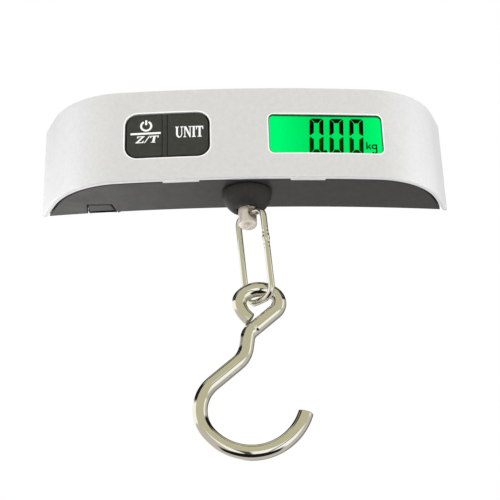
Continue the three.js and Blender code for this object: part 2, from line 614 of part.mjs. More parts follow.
// ---------- Assembly ----------
const build = () => {
  add('front_cover', frontCover(), 'silver');
  add('housing_shell', housingShell(), 'black');
  add('rear_cover', rearCover(), 'black');
  add('battery_door', batteryDoor(), 'black');
  add('stud_collar', studCollar(), 'black');

  add('lcd_lens', lens(), 'lens');
  add('lcd_glass', glass(), 'glow');
  add('lcd_backlight', backlight(), 'white');
  add('lcd_holder', holder(), 'black');
  add('display_ribbon', ribbon(), 'foil');

  add('power_key', keyCap(-1), 'key');
  add('unit_key', keyCap(1), 'key');
  add('keypad_mat', keypadMat(), 'key');
  add('main_board', mainBoard(), 'board');
  const onBoard = BOARD.back + BOND;
  const chip = rod(CHIP.radius, onBoard, onBoard + CHIP.tall, [CHIP.x, 0, MIDDLE_Z], 'y', 20);
  add('converter_chip', chip, 'black');
  CAPACITOR.left.forEach((x, i) => add(`capacitor_${i + 1}`, box(
    x, x + CAPACITOR.width, onBoard, onBoard + CAPACITOR.depth, CAPACITOR.low, CAPACITOR.high,
  ), 'foil'));
  add('backlight_led', box(LED.left, LED.right, onBoard, onBoard + LED.depth, LED.low, LED.high), 'white');

  add('load_beam', loadBeam(), 'aluminium');
  const gauge = (low) => box(GAUGE.left, GAUGE.right, -GAUGE.half, GAUGE.half, low, low + GAUGE.thick);
  add('strain_gauge_top', gauge(BEAM.high + BOND), 'foil');
  add('strain_gauge_bottom', gauge(BEAM.low - BOND - GAUGE.thick), 'foil');
  add('hook_stud', hookStud(), 'steel');
  add('stud_washer', ring(WASHER, BEAM.high + GAP, 24), 'steel');
  add('stud_nut', ring(NUT, BEAM.high + WASHER.tall + 2 * GAP, 6), 'steel');
  add('wire_link', hangLink(wireLink()), 'steel');
  add('load_hook', wire(new BentWire(HOOK_START, HOOK_BENDS), HOOK_WIRE_R, 72, 12), 'steel');

  add('battery_tray', batteryTray(), 'black');
  add('coin_cell', coinCell(), 'steel');
  add('cell_spring', cellSpring(), 'steel');
  add('cell_clip', cellClip(), 'steel');

  CASE_SCREWS.forEach(([x, z], i) => add(`case_screw_${i + 1}`, screw({
    at: [x, 0, z], axis: 'y', head: backY(x) - 0.35, headTall: 0.9, headR: 1.9, shankR: PILOT_R, tip: 2,
  }), 'steel'));
  BOARD_SCREWS.forEach(([x, z], i) => add(`board_screw_${i + 1}`, screw({
    at: [x, 0, z], axis: 'y', head: BOARD.back + 0.95, headTall: 0.65, headR: 1.5, shankR: 0.6, tip: -6.4,
  }), 'steel'));
  BEAM_SCREWS.forEach((x, i) => add(`beam_screw_${i + 1}`, screw({
    at: [x, 0, 0], axis: 'z', head: BEAM.high + 2.2, headTall: 1.9, headR: 2.2, shankR: 1.2, tip: -24,
  }), 'steel'));
};

build();

export default scale;
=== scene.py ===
"""Looks of the luggage scale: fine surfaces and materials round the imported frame.

Lengths are millimetres until they become vertices, which are metres in the frame's own axes: X right, Y back,
Z up, with the origin on the load axis."""

import math

import bmesh
import bpy
from mathutils import Matrix, Vector


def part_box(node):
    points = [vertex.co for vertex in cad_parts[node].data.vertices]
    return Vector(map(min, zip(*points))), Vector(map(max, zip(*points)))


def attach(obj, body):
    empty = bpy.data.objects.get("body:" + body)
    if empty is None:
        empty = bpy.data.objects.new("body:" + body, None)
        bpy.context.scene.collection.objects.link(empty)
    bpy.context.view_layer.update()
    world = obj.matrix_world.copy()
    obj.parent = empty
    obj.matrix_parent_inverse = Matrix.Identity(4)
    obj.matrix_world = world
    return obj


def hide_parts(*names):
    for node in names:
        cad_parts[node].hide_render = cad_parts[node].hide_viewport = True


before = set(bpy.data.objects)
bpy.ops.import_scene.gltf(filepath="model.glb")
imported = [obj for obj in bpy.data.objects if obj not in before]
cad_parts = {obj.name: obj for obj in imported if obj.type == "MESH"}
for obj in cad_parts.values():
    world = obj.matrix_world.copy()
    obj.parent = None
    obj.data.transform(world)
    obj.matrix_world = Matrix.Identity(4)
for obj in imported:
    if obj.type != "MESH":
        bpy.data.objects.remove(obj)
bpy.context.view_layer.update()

MM = 0.001
scene = bpy.context.scene

# ---------- Driving dimensions, in millimetres ----------
COVER_LOW, COVER_HIGH = (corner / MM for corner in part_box("front_cover"))
SHELL_LOW, SHELL_HIGH = (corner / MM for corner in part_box("housing_shell"))
FRONT_Y = COVER_LOW.y
TIP_Y = COVER_HIGH.y
FRONT_R = 426
FRONT_TURN = math.radians(5.1)
CORNER_R = 25.2
CORNER_TURN = math.radians(64.7)
END_R = 200
BACK_Y = 10.6
BACK_R = 454
WALL = 1.3
SHELL_OFFSET = 1.6
GAP = 0.3
FLOOR = 1.6
FLOOR_DRAW_IN = 0.55
COVER_TABS = {"spans": ((-24.6, -14.0), (12.6, 22.8)), "tall": 0.8, "depth": 0.9}
WINDOW = {"x": 23.5, "z": -14.95, "width": 33.8, "height": 12.8, "radius": 1.6}
WINDOW_TURN = math.radians(3.4)
KEYS = {"x": -23.1, "z": -14.65, "width": 24.4, "height": 14.1, "radius": 3.5}
KEY_SPLIT = -0.75
KEY_GAP = 1.5
KEY_ROOM = 0.3
KEY_INSET = 0.25
KEY_FLANGE = 0.7
RIB_ROOM = 0.07
LIP = 0.4
CASE_SCREWS = [(-29.5, -4.6), (48, -4.6), (-29.5, -24.6), (48, -24.6)]
DOOR = {"left": -53.6, "right": -33.6, "top": -3.2, "bottom": -27.1, "thick": 1.6}
TONGUE = {"front": 7.2, "front_x": (-47.6, -40.9), "back_x": (-48.0, -39.4)}
STUD_R = 2.7
EYE_Z = -36.1
EYE_TURN = math.radians(-48)
DOME_R = 7.4


# ---------- Flat outlines ----------
def arc(cx, cy, radius, start, end, steps):
    """Points along a circle, angles in degrees from +X."""
    turns = [math.radians(start + (end - start) * i / steps) for i in range(steps + 1)]
    return [(cx + radius * math.cos(a), cy + radius * math.sin(a)) for a in turns]


def rounded_rect(cx, cy, width, height, radius, steps=10):
    x, y = width / 2 - radius, height / 2 - radius
    points = []
    for sx, sy, start in ((1, 1, 0), (-1, 1, 90), (-1, -1, 180), (1, -1, 270)):
        points += arc(cx + sx * x, cy + sy * y, radius, start, start + 90, steps)
    return points


def filleted(corners, steps=5):
    """A polygon of (x, y, radius) corners with its corners rounded."""
    points = []
    for i, (x, y, radius) in enumerate(corners):
        here = Vector((x, y))
        before = (Vector(corners[i - 1][:2]) - here).normalized()
        after = (Vector(corners[(i + 1) % len(corners)][:2]) - here).normalized()
        half = before.angle(after) / 2
        reach = radius / math.tan(half)
        centre = here + (before + after).normalized() * (radius / math.sin(half))
        start, end = here + before * reach - centre, here + after * reach - centre
        for k in range(steps + 1):
            spoke = start.lerp(end, k / steps).normalized() * radius
            points.append(tuple(centre + spoke))
    return points


def inset_loop(points, distance):
    """The closed loop moved to its left by distance, with as many points."""
    moved = []
    for i, point in enumerate(points):
        here = Vector(point)
        before = (here - Vector(points[i - 1])).normalized()
        after = (Vector(points[(i + 1) % len(points)]) - here).normalized()
        mitre = Vector((-before.y - after.y, before.x + after.x)).normalized()
        share = max(0.35, mitre.dot(Vector((-before.y, before.x))))
        moved.append(tuple(here + mitre * (distance / share)))
    return moved


def rim(near, far, round_near, round_far, steps=4):
    """Side profile of a plate as (inset, depth) pairs, from its near face to its far face."""
    turns = [math.pi / 2 * k / steps for k in range(steps + 1)]
    first = [(round_near * (1 - math.sin(a)), near + round_near * (1 - math.cos(a))) for a in turns]
    last = [(round_far * (1 - math.cos(a)), far - round_far * (1 - math.sin(a))) for a in turns]
    return first + last


# ---------- Places: (across, up, depth) in millimetres to a point in metres ----------
def from_centre(reach, turn):
    return Vector((reach * math.sin(turn), -reach * math.cos(turn)))


# Centres of the three arcs of the front: crown, corner and end.
FIRST = Vector((0, FRONT_Y + FRONT_R))
SECOND = FIRST + from_centre(FRONT_R - CORNER_R, FRONT_TURN)
THIRD = SECOND + from_centre(CORNER_R - END_R, CORNER_TURN)
FRONT_LENGTH = FRONT_R * FRONT_TURN
CORNER_LENGTH = CORNER_R * (CORNER_TURN - FRONT_TURN)
LAST_TURN = math.acos((THIRD.y - TIP_Y) / END_R)
HALF_LENGTH = FRONT_LENGTH + CORNER_LENGTH + END_R * (LAST_TURN - CORNER_TURN)


def front_turn(s):
    """Centre, radius and turn of the front outline at s along it, from the crown."""
    if s <= FRONT_LENGTH:
        return FIRST, FRONT_R, s / FRONT_R
    if s <= FRONT_LENGTH + CORNER_LENGTH:
        return SECOND, CORNER_R, FRONT_TURN + (s - FRONT_LENGTH) / CORNER_R
    return THIRD, END_R, CORNER_TURN + (s - FRONT_LENGTH - CORNER_LENGTH) / END_R


def front_xy(s, depth):
    """A place along the front, drawn in past the corner so that every depth ends in the plane of the tips."""
    along, corner_end = abs(s), FRONT_LENGTH + CORNER_LENGTH
    if along > corner_end:
        last = math.acos((THIRD.y - TIP_Y) / (END_R - depth))
        along = corner_end + (along - corner_end) * (last - CORNER_TURN) / (LAST_TURN - CORNER_TURN)
    centre, radius, turn = front_turn(along)
    x = centre.x + (radius - depth) * math.sin(turn)
    return math.copysign(1, s) * x, centre.y - (radius - depth) * math.cos(turn)


def on_front(s, z, depth):
    x, y = front_xy(s, depth)
    return Vector((x, y, z)) * MM


def on_back(s, z, depth):
    turn = s / BACK_R
    reach = BACK_R + depth
    return Vector((reach * math.sin(turn), BACK_Y + BACK_R - reach * math.cos(turn), z)) * MM


def on_window(x, z, depth):
    """Flat pieces behind the display window, measured from the middle of the window."""
    across, back = front_xy(WINDOW["x"], 0)
    cos, sin = math.cos(WINDOW_TURN), math.sin(WINDOW_TURN)
    return Vector((across + x * cos - depth * sin, back + x * sin + depth * cos, WINDOW["z"] + z)) * MM


def level(x, y, z):
    return Vector((x, y, z)) * MM


def upright(x, z, y):
    return Vector((x, y, z)) * MM


def from_front(x, z):
    """Turns a body of revolution so that its axis runs from front to back through (x, z)."""
    return Matrix.Translation(Vector((x, 0, z)) * MM) @ Matrix.Rotation(-math.pi / 2, 4, "X")


def back_line(x):
    return BACK_Y + BACK_R - math.sqrt(BACK_R**2 - x * x)


def front_cuts(limit=None):
    """Places along the front where a flat plate is cut so that it can bend."""
    crown_steps, corner_steps, end_steps = 15, 26, 5
    cuts = [i * FRONT_LENGTH / crown_steps for i in range(crown_steps + 1)]
    cuts += [FRONT_LENGTH + i * CORNER_LENGTH / corner_steps for i in range(1, corner_steps + 1)]
    end = FRONT_LENGTH + CORNER_LENGTH
    cuts += [end + i * (HALF_LENGTH - end) / end_steps for i in range(1, end_steps)]
    both = sorted({c for cut in cuts for c in (cut, -cut)})
    return both if limit is None else [c for c in both if limit[0] < c < limit[1]]


# ---------- Meshes ----------
def tidy_normals(piece):
    """Settles face-weighted normals into the mesh, so flat faces shade flat beside their rounded edges."""
    modifier = piece.modifiers.new("weighted", "WEIGHTED_NORMAL")
    modifier.keep_sharp = True
    modifier.weight = 80
    settle(piece)


def settle(piece):
    bpy.context.view_layer.update()
    shown = piece.evaluated_get(bpy.context.evaluated_depsgraph_get())
    mesh = bpy.data.meshes.new_from_object(shown)
    piece.modifiers.clear()
    piece.data = mesh


def make_piece(name, bm, material, smooth_angle=40):
    mesh = bpy.data.meshes.new(name)
    bmesh.ops.recalc_face_normals(bm, faces=bm.faces)
    bm.to_mesh(mesh)
    bm.free()
    mesh.shade_smooth()
    mesh.set_sharp_from_angle(angle=math.radians(smooth_angle))
    mesh.materials.append(material)
    piece = bpy.data.objects.new(name, mesh)
    scene.collection.objects.link(piece)
    return piece


def join_rings(bm, low, high):
    """Faces from one ring of vertices to the next. Either may be a single point."""
    count = max(len(low), len(high))
    for i in range(count):
        j = (i + 1) % count
        if len(low) == 1:
            bm.faces.new((low[0], high[i], high[j]))
        elif len(high) == 1:
            bm.faces.new((low[i], low[j], high[0]))
        else:
            bm.faces.new((low[i], low[j], high[j], high[i]))


def add_plate(bm, loops, profile, place, cuts=()):
    """Adds one closed plate to bm: loops[0] is its outline, counter-clockwise, and the others are holes."""
    part = bmesh.new()
    first_rims, last_rims = [], []
    for number, loop in enumerate(loops):
        sign = 1 if number == 0 else -1
        rings = []
        for inset, depth in profile:
            ring = inset_loop(loop, sign * inset) if inset else loop
            rings.append([part.verts.new((u, v, depth)) for u, v in ring])
        for near, far in zip(rings, rings[1:]):
            join_rings(part, near, far)
        for rims, ring in ((first_rims, rings[0]), (last_rims, rings[-1])):
            rims += [part.edges.get(pair) for pair in zip(ring, ring[1:] + ring[:1])]
    for rims in (first_rims, last_rims):
        bmesh.ops.triangle_fill(part, use_beauty=True, use_dissolve=False, edges=rims)
    for cut in cuts:
        geometry = list(part.verts) + list(part.edges) + list(part.faces)
        bmesh.ops.bisect_plane(part, geom=geometry, dist=1e-5, plane_co=(cut, 0, 0), plane_no=(1, 0, 0))
    bmesh.ops.remove_doubles(part, verts=part.verts, dist=1e-4)
    bmesh.ops.recalc_face_normals(part, faces=part.faces)
    for vert in part.verts:
        vert.co = place(*vert.co)
    mesh = bpy.data.meshes.new("part")
    part.to_mesh(mesh)
    part.free()
    bm.from_mesh(mesh)
    bpy.data.meshes.remove(mesh)


def plate_piece(name, plates, material):
    """One piece from a list of (loops, profile, place, cuts)."""
    bm = bmesh.new()
    for plate in plates:
        add_plate(bm, *plate)
    piece = make_piece(name, bm, material)
    tidy_normals(piece)
    return piece


def rounded_profile(corners, steps=4):
    """A turned profile whose corners (radius, height, fillet) are rounded where the fillet isn't zero."""
    points = []
    for i, (r, h, fillet) in enumerate(corners):
        if fillet == 0 or i in (0, len(corners) - 1):
            points.append((r, h))
            continue
        here = Vector((r, h))
        before = Vector(corners[i - 1][:2]) - here
        after = Vector(corners[i + 1][:2]) - here
        reach = min(fillet, before.length / 2, after.length / 2)
        start, end = here + before.normalized() * reach, here + after.normalized() * reach
        for k in range(steps + 1):
            t = k / steps
            points.append(tuple(start * (1 - t) ** 2 + here * 2 * t * (1 - t) + end * t * t))
    return points


def turned_piece(name, profile, material, matrix=Matrix(), sides=72):
    """A body of revolution round its own Z axis, in millimetres, then placed by matrix (metres)."""
    bm = bmesh.new()
    rings = []
    for r, h in profile:
        if r < 1e-6:
            rings.append([bm.verts.new((0, 0, h * MM))])
            continue
        turns = [2 * math.pi * i / sides for i in range(sides)]
        rings.append([bm.verts.new((r * math.cos(a) * MM, r * math.sin(a) * MM, h * MM)) for a in turns])
    for low, high in zip(rings, rings[1:]):
        join_rings(bm, low, high)
    bm.transform(matrix)
    piece = make_piece(name, bm, material, smooth_angle=50)
    tidy_normals(piece)
    return piece


def cut_piece(piece, cutter):
    """Takes the cutter's shape out of the piece, and removes the cutter."""
    modifier = piece.modifiers.new("cut", "BOOLEAN")
    modifier.operation = "DIFFERENCE"
    modifier.solver = "EXACT"
    modifier.object = cutter
    settle(piece)
    bpy.data.objects.remove(cutter)
    piece.data.shade_smooth()
    piece.data.set_sharp_from_angle(angle=math.radians(38))


def bent_path(x, z, heading, bends, step):
    """Points (x, z, heading, run) along runs and round bends. Headings are clockwise from up."""
    heading = math.radians(heading)
    points = [(x, z, heading, 0)]
    total = 0
    for kind, size, *turn in bends:
        if kind == "run":
            length, to = size, heading
        else:
            to = math.radians(turn[0])
            length = size * abs(to - heading)
        count = max(2, round(length / step))
        way = 1 if to > heading else -1
        for k in range(1, count + 1):
            if kind == "run":
                along = length * k / count
                px, pz, h = x + along * math.sin(heading), z + along * math.cos(heading), heading
            else:
                h = heading + (to - heading) * k / count
                px = x + way * size * (math.cos(heading) - math.cos(h))
                pz = z + way * size * (math.sin(h) - math.sin(heading))
            points.append((px, pz, h, total + length * k / count))
        x, z, heading = points[-1][:3]
        total += length
    return points


def wire_piece(name, path, radius_at, material, sides, closed=False, matrix=Matrix()):
    """A round wire along a path in the XZ plane. radius_at(run, angle) may dent it."""
    bm = bmesh.new()
    rings = []
    for x, z, heading, run in path[:-1] if closed else path:
        side = Vector((math.cos(heading), 0, -math.sin(heading)))
        ring = []
        for i in range(sides):
            a = 2 * math.pi * i / sides
            spoke = side * math.cos(a) + Vector((0, 1, 0)) * math.sin(a)
            ring.append(bm.verts.new((Vector((x, 0, z)) + spoke * radius_at(run, a)) * MM))
        rings.append(ring)
    pairs = list(zip(rings, rings[1:]))
    if closed:
        pairs.append((rings[-1], rings[0]))
    for low, high in pairs:
        join_rings(bm, low, high)
    if not closed:
        bm.faces.new(rings[0])
        bm.faces.new(rings[-1])
    bm.transform(matrix)
    return make_piece(name, bm, material, smooth_angle=50)


# ---------- Materials ----------
def set_sockets(node, **values):
    for socket, value in values.items():
        node.inputs[socket.replace("_", " ")].default_value = value


def principled(name, colour, roughness, metallic=0.0, **inputs):
    material = bpy.data.materials.new(name)
    material.use_nodes = True
    shader = material.node_tree.nodes["Principled BSDF"]
    set_sockets(shader, Base_Color=(*colour, 1), Roughness=roughness, Metallic=metallic, **inputs)
    return material


def noise(material, scale, detail=3.0, stretch=(1, 1, 1)):
    """A noise texture in the object's own metres. Scale is features per metre."""
    nodes, links = material.node_tree.nodes, material.node_tree.links
    coordinates = nodes.new("ShaderNodeTexCoord")
    mapping, texture = nodes.new("ShaderNodeMapping"), nodes.new("ShaderNodeTexNoise")
    set_sockets(mapping, Scale=stretch)
    set_sockets(texture, Scale=scale, Detail=detail)
    links.new(coordinates.outputs["Object"], mapping.inputs["Vector"])
    links.new(mapping.outputs["Vector"], texture.inputs["Vector"])
    return texture.outputs["Fac"]


def add_bump(material, height, strength, distance):
    nodes, links = material.node_tree.nodes, material.node_tree.links
    bump = nodes.new("ShaderNodeBump")
    set_sockets(bump, Strength=strength, Distance=distance * MM)
    links.new(height, bump.inputs["Height"])
    links.new(bump.outputs["Normal"], nodes["Principled BSDF"].inputs["Normal"])


def ramp(material, value, stops):
    nodes, links = material.node_tree.nodes, material.node_tree.links
    colours = nodes.new("ShaderNodeValToRGB")
    while len(colours.color_ramp.elements) < len(stops):
        colours.color_ramp.elements.new(0.5)
    for element, (position, colour) in zip(colours.color_ramp.elements, stops):
        element.position = position
        element.color = (*colour, 1) if isinstance(colour, tuple) else (colour, colour, colour, 1)
    links.new(value, colours.inputs["Fac"])
    return colours.outputs["Color"]


def vary(material, socket, value, stops):
    """Drives a shader socket by a texture value through a ramp."""
    shader = material.node_tree.nodes["Principled BSDF"]
    material.node_tree.links.new(ramp(material, value, stops), shader.inputs[socket])


def silver_paint():
    material = principled("silver_paint", (0.68, 0.68, 0.70), 0.36, 0.3)
    stops = [(0.3, (0.70, 0.70, 0.715)), (0.7, (0.74, 0.74, 0.755))]
    vary(material, "Base Color", noise(material, 900), stops)
    vary(material, "Roughness", noise(material, 60), [(0.3, 0.34), (0.7, 0.40)])
    add_bump(material, noise(material, 5200, 2.0), 0.12, 0.02)
    return material


def moulded_black(name, colour, roughness, gloss=0.5):
    material = principled(name, colour, roughness, Specular_IOR_Level=gloss)
    lighter = tuple(c * 1.35 for c in colour)
    vary(material, "Base Color", noise(material, 700), [(0.35, colour), (0.7, lighter)])
    vary(material, "Roughness", noise(material, 140), [(0.3, roughness - 0.05), (0.7, roughness + 0.06)])
    add_bump(material, noise(material, 2600, 4.0), 0.25, 0.04)
    return material


def key_rubber():
    material = principled("key_rubber", (0.031, 0.032, 0.028), 0.62)
    stops = [(0.3, (0.027, 0.028, 0.024)), (0.7, (0.036, 0.037, 0.032))]
    vary(material, "Base Color", noise(material, 800), stops)
    add_bump(material, noise(material, 3800, 4.0), 0.3, 0.03)
    return material


def nickel(name, colour, roughness, streak, metallic=1.0):
    """Nickel plate with faint polishing lines."""
    material = principled(name, colour, roughness, metallic)
    vary(material, "Roughness", noise(material, 260), [(0.3, roughness * 0.8), (0.75, roughness * 1.5)])
    add_bump(material, noise(material, 1500, 3.0, (1, 1, 0.2)), streak, 0.01)
    return material


def plain(name, colour, roughness, metallic=0.0):
    material = principled(name, colour, roughness, metallic)
    darker = tuple(c * 0.85 for c in colour)
    vary(material, "Base Color", noise(material, 500), [(0.35, darker), (0.7, colour)])
    add_bump(material, noise(material, 2000), 0.15, 0.02)
    return material


def display_glow():
    """The lit face: a little brighter towards both ends, where the lamps sit."""
    material = principled("display_glow", (0.0, 0.03, 0.005), 0.5, Specular_IOR_Level=0.0)
    nodes, links = material.node_tree.nodes, material.node_tree.links
    shader = nodes["Principled BSDF"]
    coordinates = nodes.new("ShaderNodeTexCoord")
    split = nodes.new("ShaderNodeSeparateXYZ")
    links.new(coordinates.outputs["Object"], split.inputs["Vector"])
    low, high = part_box("lcd_glass")
    span = nodes.new("ShaderNodeMapRange")
    set_sockets(span, From_Min=low.x, From_Max=high.x)
    links.new(split.outputs["X"], span.inputs["Value"])
    bright, middle, even = (0.0, 0.93, 0.172), (0.0, 0.73, 0.118), (0.0, 0.78, 0.13)
    stops = [(0.0, bright), (0.12, bright), (0.38, middle), (0.8, even), (0.95, bright)]
    links.new(ramp(material, span.outputs["Result"], stops), shader.inputs["Emission Color"])
    shader.inputs["Emission Strength"].default_value = 1.0
    return material


def clear_plastic():
    """Coated against reflections, so its index is low."""
    return principled("clear_plastic", (0.97, 1.0, 0.98), 0.02, Transmission_Weight=1.0, IOR=1.03)


SILVER = silver_paint()
BLACK = moulded_black("moulded_black", (0.026, 0.026, 0.025), 0.34)
DOME_BLACK = moulded_black("dome_black", (0.017, 0.017, 0.016), 0.55, 0.4)
RUBBER = key_rubber()
INK = principled("white_ink", (0.92, 0.92, 0.90), 0.5)
# Near-white paint for the thin rims round the openings: a painted highlight where the opening edges catch the
# light.
PAINTED_HIGHLIGHT_RIM = principled("painted_highlight_rim", (0.93, 0.93, 0.92), 0.3)
GLOW = display_glow()
LCD_INK = principled("lcd_ink", (0.0, 0.007, 0.001), 0.4, Specular_IOR_Level=0.0)
PALE_LCD_INK = principled("pale_lcd_ink", (0.0, 0.035, 0.004), 0.4, Specular_IOR_Level=0.0)
LENS = clear_plastic()
POLISHED = nickel("polished_nickel", (0.82, 0.81, 0.74), 0.06, 0.04)
CUT_FACE = nickel("cut_wire", (0.60, 0.58, 0.52), 0.38, 0.3)
SATIN = nickel("satin_nickel", (0.82, 0.76, 0.70), 0.34, 0.25, 0.6)
SCREW_STEEL = nickel("zinc_plate", (0.70, 0.70, 0.68), 0.26, 0.2)
ALUMINIUM = plain("machined_aluminium", (0.66, 0.67, 0.68), 0.38, 1.0)
BOARD_GREEN = plain("solder_mask", (0.02, 0.15, 0.05), 0.42)
RESIN = plain("potting_resin", (0.015, 0.015, 0.015), 0.25)
FOIL = plain("polyimide_foil", (0.55, 0.24, 0.05), 0.35)
WHITE = plain("white_plastic", (0.78, 0.78, 0.74), 0.4)
CELL_STEEL = nickel("cell_steel", (0.74, 0.73, 0.71), 0.24, 0.2)


def finish_piece(piece, body, slot, *nodes):
    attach(piece, body)
    if nodes:
        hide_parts(*nodes)


# ---------- Silver cover ----------
def wider(sizes, more, radius, steps):
    """Outline of an opening whose width and height are larger by more."""
    return rounded_rect(sizes["x"], sizes["z"], sizes["width"] + more, sizes["height"] + more, radius, steps)


def opening(sizes, grow=0.0):
    """Outline of an opening in the cover, made larger all round by grow."""
    return wider(sizes, 2 * grow, sizes["radius"] + grow, 10)


def front_cover():
    low, high = COVER_LOW.z, COVER_HIGH.z
    outline = rounded_rect(0, (low + high) / 2, 2 * HALF_LENGTH, high - low, 0.5, 3)
    loops = [outline, opening(WINDOW), opening(KEYS, KEY_ROOM)]
    plates = [(loops, rim(0, WALL, 0.45, 0.15), on_front, front_cuts())]
    tab_tall = COVER_TABS["tall"]
    side = rim(WALL - 0.2, WALL + COVER_TABS["depth"], 0.05, 0.1, 2)
    for start, end in COVER_TABS["spans"]:
        for foot in (low, high - tab_tall):
            tab = rounded_rect((start + end) / 2, foot + tab_tall / 2, end - start, tab_tall, 0.15, 2)
            plates.append(([tab], side, on_front, front_cuts((start, end))))
    finish_piece(plate_piece("front_cover_skin", plates, SILVER), "handle", "silver_cover", "front_cover")
    # Thin near-white rims round the window and the keys carry a painted highlight along the opening edges.
    edge = rim(-0.02, 0.5, 0.1, 0.02, 3)
    lips = []
    for sizes, room, span in ((WINDOW, 0, (2, 44)), (KEYS, KEY_ROOM, (-40, -8))):
        loops = [opening(sizes, room + LIP), opening(sizes, room + 0.02)]
        lips.append((loops, edge, on_front, front_cuts(span)))
    finish_piece(plate_piece("opening_highlight_rims", lips, PAINTED_HIGHLIGHT_RIM), "handle", "silver_cover")


# ---------- Black housing ----------
def level_outline(offset, notch=None):
    """Outline of a level plate between the front, moved in by offset, and the hollow back.

    A notch is cut from the back. It is its (left, right) at the back, its (left, right) in front, and its
    front edge."""
    steps = 60
    half = [front_xy(HALF_LENGTH * i / steps, offset) for i in range(1, steps + 1)]
    front = [(-x, y) for x, y in reversed(half)] + [front_xy(0, offset)] + half
    reach = front[-1][0] - 0.15
    back = []
    for i in range(steps + 1):
        x = reach - 2 * reach * i / steps
        back.append((x, back_line(x)))
    if notch:
        (back_left, back_right), (front_left, front_right), depth = notch
        right = [point for point in back if point[0] > back_right]
        left = [point for point in back if point[0] < back_left]
        edge = back_line(back_left)
        cut = [(back_right, edge), (front_right, depth), (front_left, depth), (back_left, edge)]
        back = right + cut + left
    return front + back


def housing():
    hole = arc(0, 0, STUD_R + 0.8, 0, 360, 47)[:-1]
    sides = [(left - GAP, right + GAP) for left, right in (TONGUE["back_x"], TONGUE["front_x"])]
    notch = (*sides, TONGUE["front"] - GAP)
    bottom, top = SHELL_LOW.z, SHELL_HIGH.z
    floor_profile = [(inset, bottom + depth) for inset, depth in rim(0, FLOOR, 0.3, 0.1)]
    roof_profile = [(inset, top - FLOOR + depth) for inset, depth in rim(0, FLOOR, 0.1, 0.3)]
    tall = top - bottom - 2 * FLOOR + 0.4
    wall = rounded_rect(0, (top + bottom) / 2, 2 * HALF_LENGTH - 4, tall, 0.2, 2)
    window, keys = wider(WINDOW, 3.6, 1, 4), wider(KEYS, 3, 4, 6)
    wall_profile = rim(SHELL_OFFSET + 0.1, SHELL_OFFSET + 1.5, 0.1, 0.1, 2)
    plates = [
        ([level_outline(SHELL_OFFSET + FLOOR_DRAW_IN, notch), hole], floor_profile, level, ()),
        ([level_outline(SHELL_OFFSET)], roof_profile, level, ()),
        ([wall, window, keys], wall_profile, on_front, front_cuts()),
    ]
    finish_piece(plate_piece("housing_skin", plates, BLACK), "handle", "black_shell", "housing_shell")


def rear_cover():
    low, high = SHELL_LOW.z + FLOOR + GAP, SHELL_HIGH.z - FLOOR - GAP
    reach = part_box("rear_cover")[1].x / MM - 0.1
    left, right = DOOR["left"] - GAP, DOOR["right"] + GAP
    door_top = DOOR["top"] + GAP
    soft = 0.6
    outline = filleted([
        (-reach, low, 0.4), (left, low, 0.3), (left, door_top, soft), (right, door_top, soft),
        (right, low, 0.3), (reach, low, 0.4), (reach, high, 0.4), (-reach, high, 0.4),
    ])
    sinks, bores = (
        [arc(BACK_R * math.asin(x / BACK_R), z, radius, 0, 360, 40)[:-1] for x, z in CASE_SCREWS]
        for radius in (2.3, 1.5)
    )
    cuts = [-reach + 2 * reach * i / 44 for i in range(1, 44)]
    plates = [
        ([outline, *sinks], rim(0, 1.42, 0.25, 0.02), on_back, cuts),
        ([outline, *bores], rim(1.4, 1.8, 0.02, 0.1, 2), on_back, cuts),
    ]
    finish_piece(plate_piece("rear_cover_skin", plates, BLACK), "handle", "black_shell", "rear_cover")


def battery_door():
    left, right, top, bottom = DOOR["left"], DOOR["right"], DOOR["top"], DOOR["bottom"]
    foot_low = SHELL_LOW.z
    neck_left, neck_right = TONGUE["back_x"]
    panel = filleted([
        (left, bottom, 0.3), (neck_left, bottom, 0.2), (neck_left, foot_low, 0.3),
        (neck_right, foot_low, 0.3), (neck_right, bottom, 0.2), (right, bottom, 0.3),
        (right, top, 0.5), (left, top, 0.5),
    ])
    cuts = [left + (right - left) * i / 10 for i in range(1, 10)]
    plates = [([panel], rim(0, DOOR["thick"], 0.25, 0.1), on_back, cuts)]
    ridge_middle = (neck_left + neck_right) / 2
    for i in range(5):
        ridge = rounded_rect(ridge_middle, -24.4 + 1.5 * i, 9 - 0.9 * i, 0.7, 0.34, 4)
        plates.append(([ridge], rim(-0.35, 0.3, 0.25, 0.05), on_back, ()))
    arrow_top, arrow_tip, arrow_half = -14.4, -16.6, 2
    arrow = filleted([
        (ridge_middle - arrow_half, arrow_top, 0.2), (ridge_middle, arrow_tip, 0.2),
        (ridge_middle + arrow_half, arrow_top, 0.2),
    ])
    plates.append(([arrow], rim(-0.18, 0.3, 0.1, 0.05, 2), on_back, ()))
    edge = back_line(neck_left)
    front_left, front_right = TONGUE["front_x"]
    foot = filleted([
        (front_left, TONGUE["front"], 0.4), (front_right, TONGUE["front"], 0.4),
        (neck_right, edge - 0.6, 0.05), (neck_left, edge - 0.6, 0.05),
    ])
    foot_profile = [(inset, foot_low + depth) for inset, depth in rim(0, FLOOR - 0.2, 0.25, 0.1)]
    plates.append(([foot], foot_profile, level, ()))
    hinge_spans = ((-52.4, -49.6), (-37.6, -34.8))
    hook, root = (0.4, 3.2, 0.3, rim(2.1, 3.0, 0.15, 0.15, 2)), (1.45, 1.1, 0.2, rim(1.4, 2.6, 0.05, 0.05, 2))
    for start, end in hinge_spans:
        for drop, tall, radius, profile in (hook, root):
            leaf = rounded_rect((start + end) / 2, top - drop, end - start, tall, radius, 3)
            plates.append(([leaf], profile, on_back, ()))
    finish_piece(plate_piece("battery_door_skin", plates, BLACK), "door", "black_shell", "battery_door")


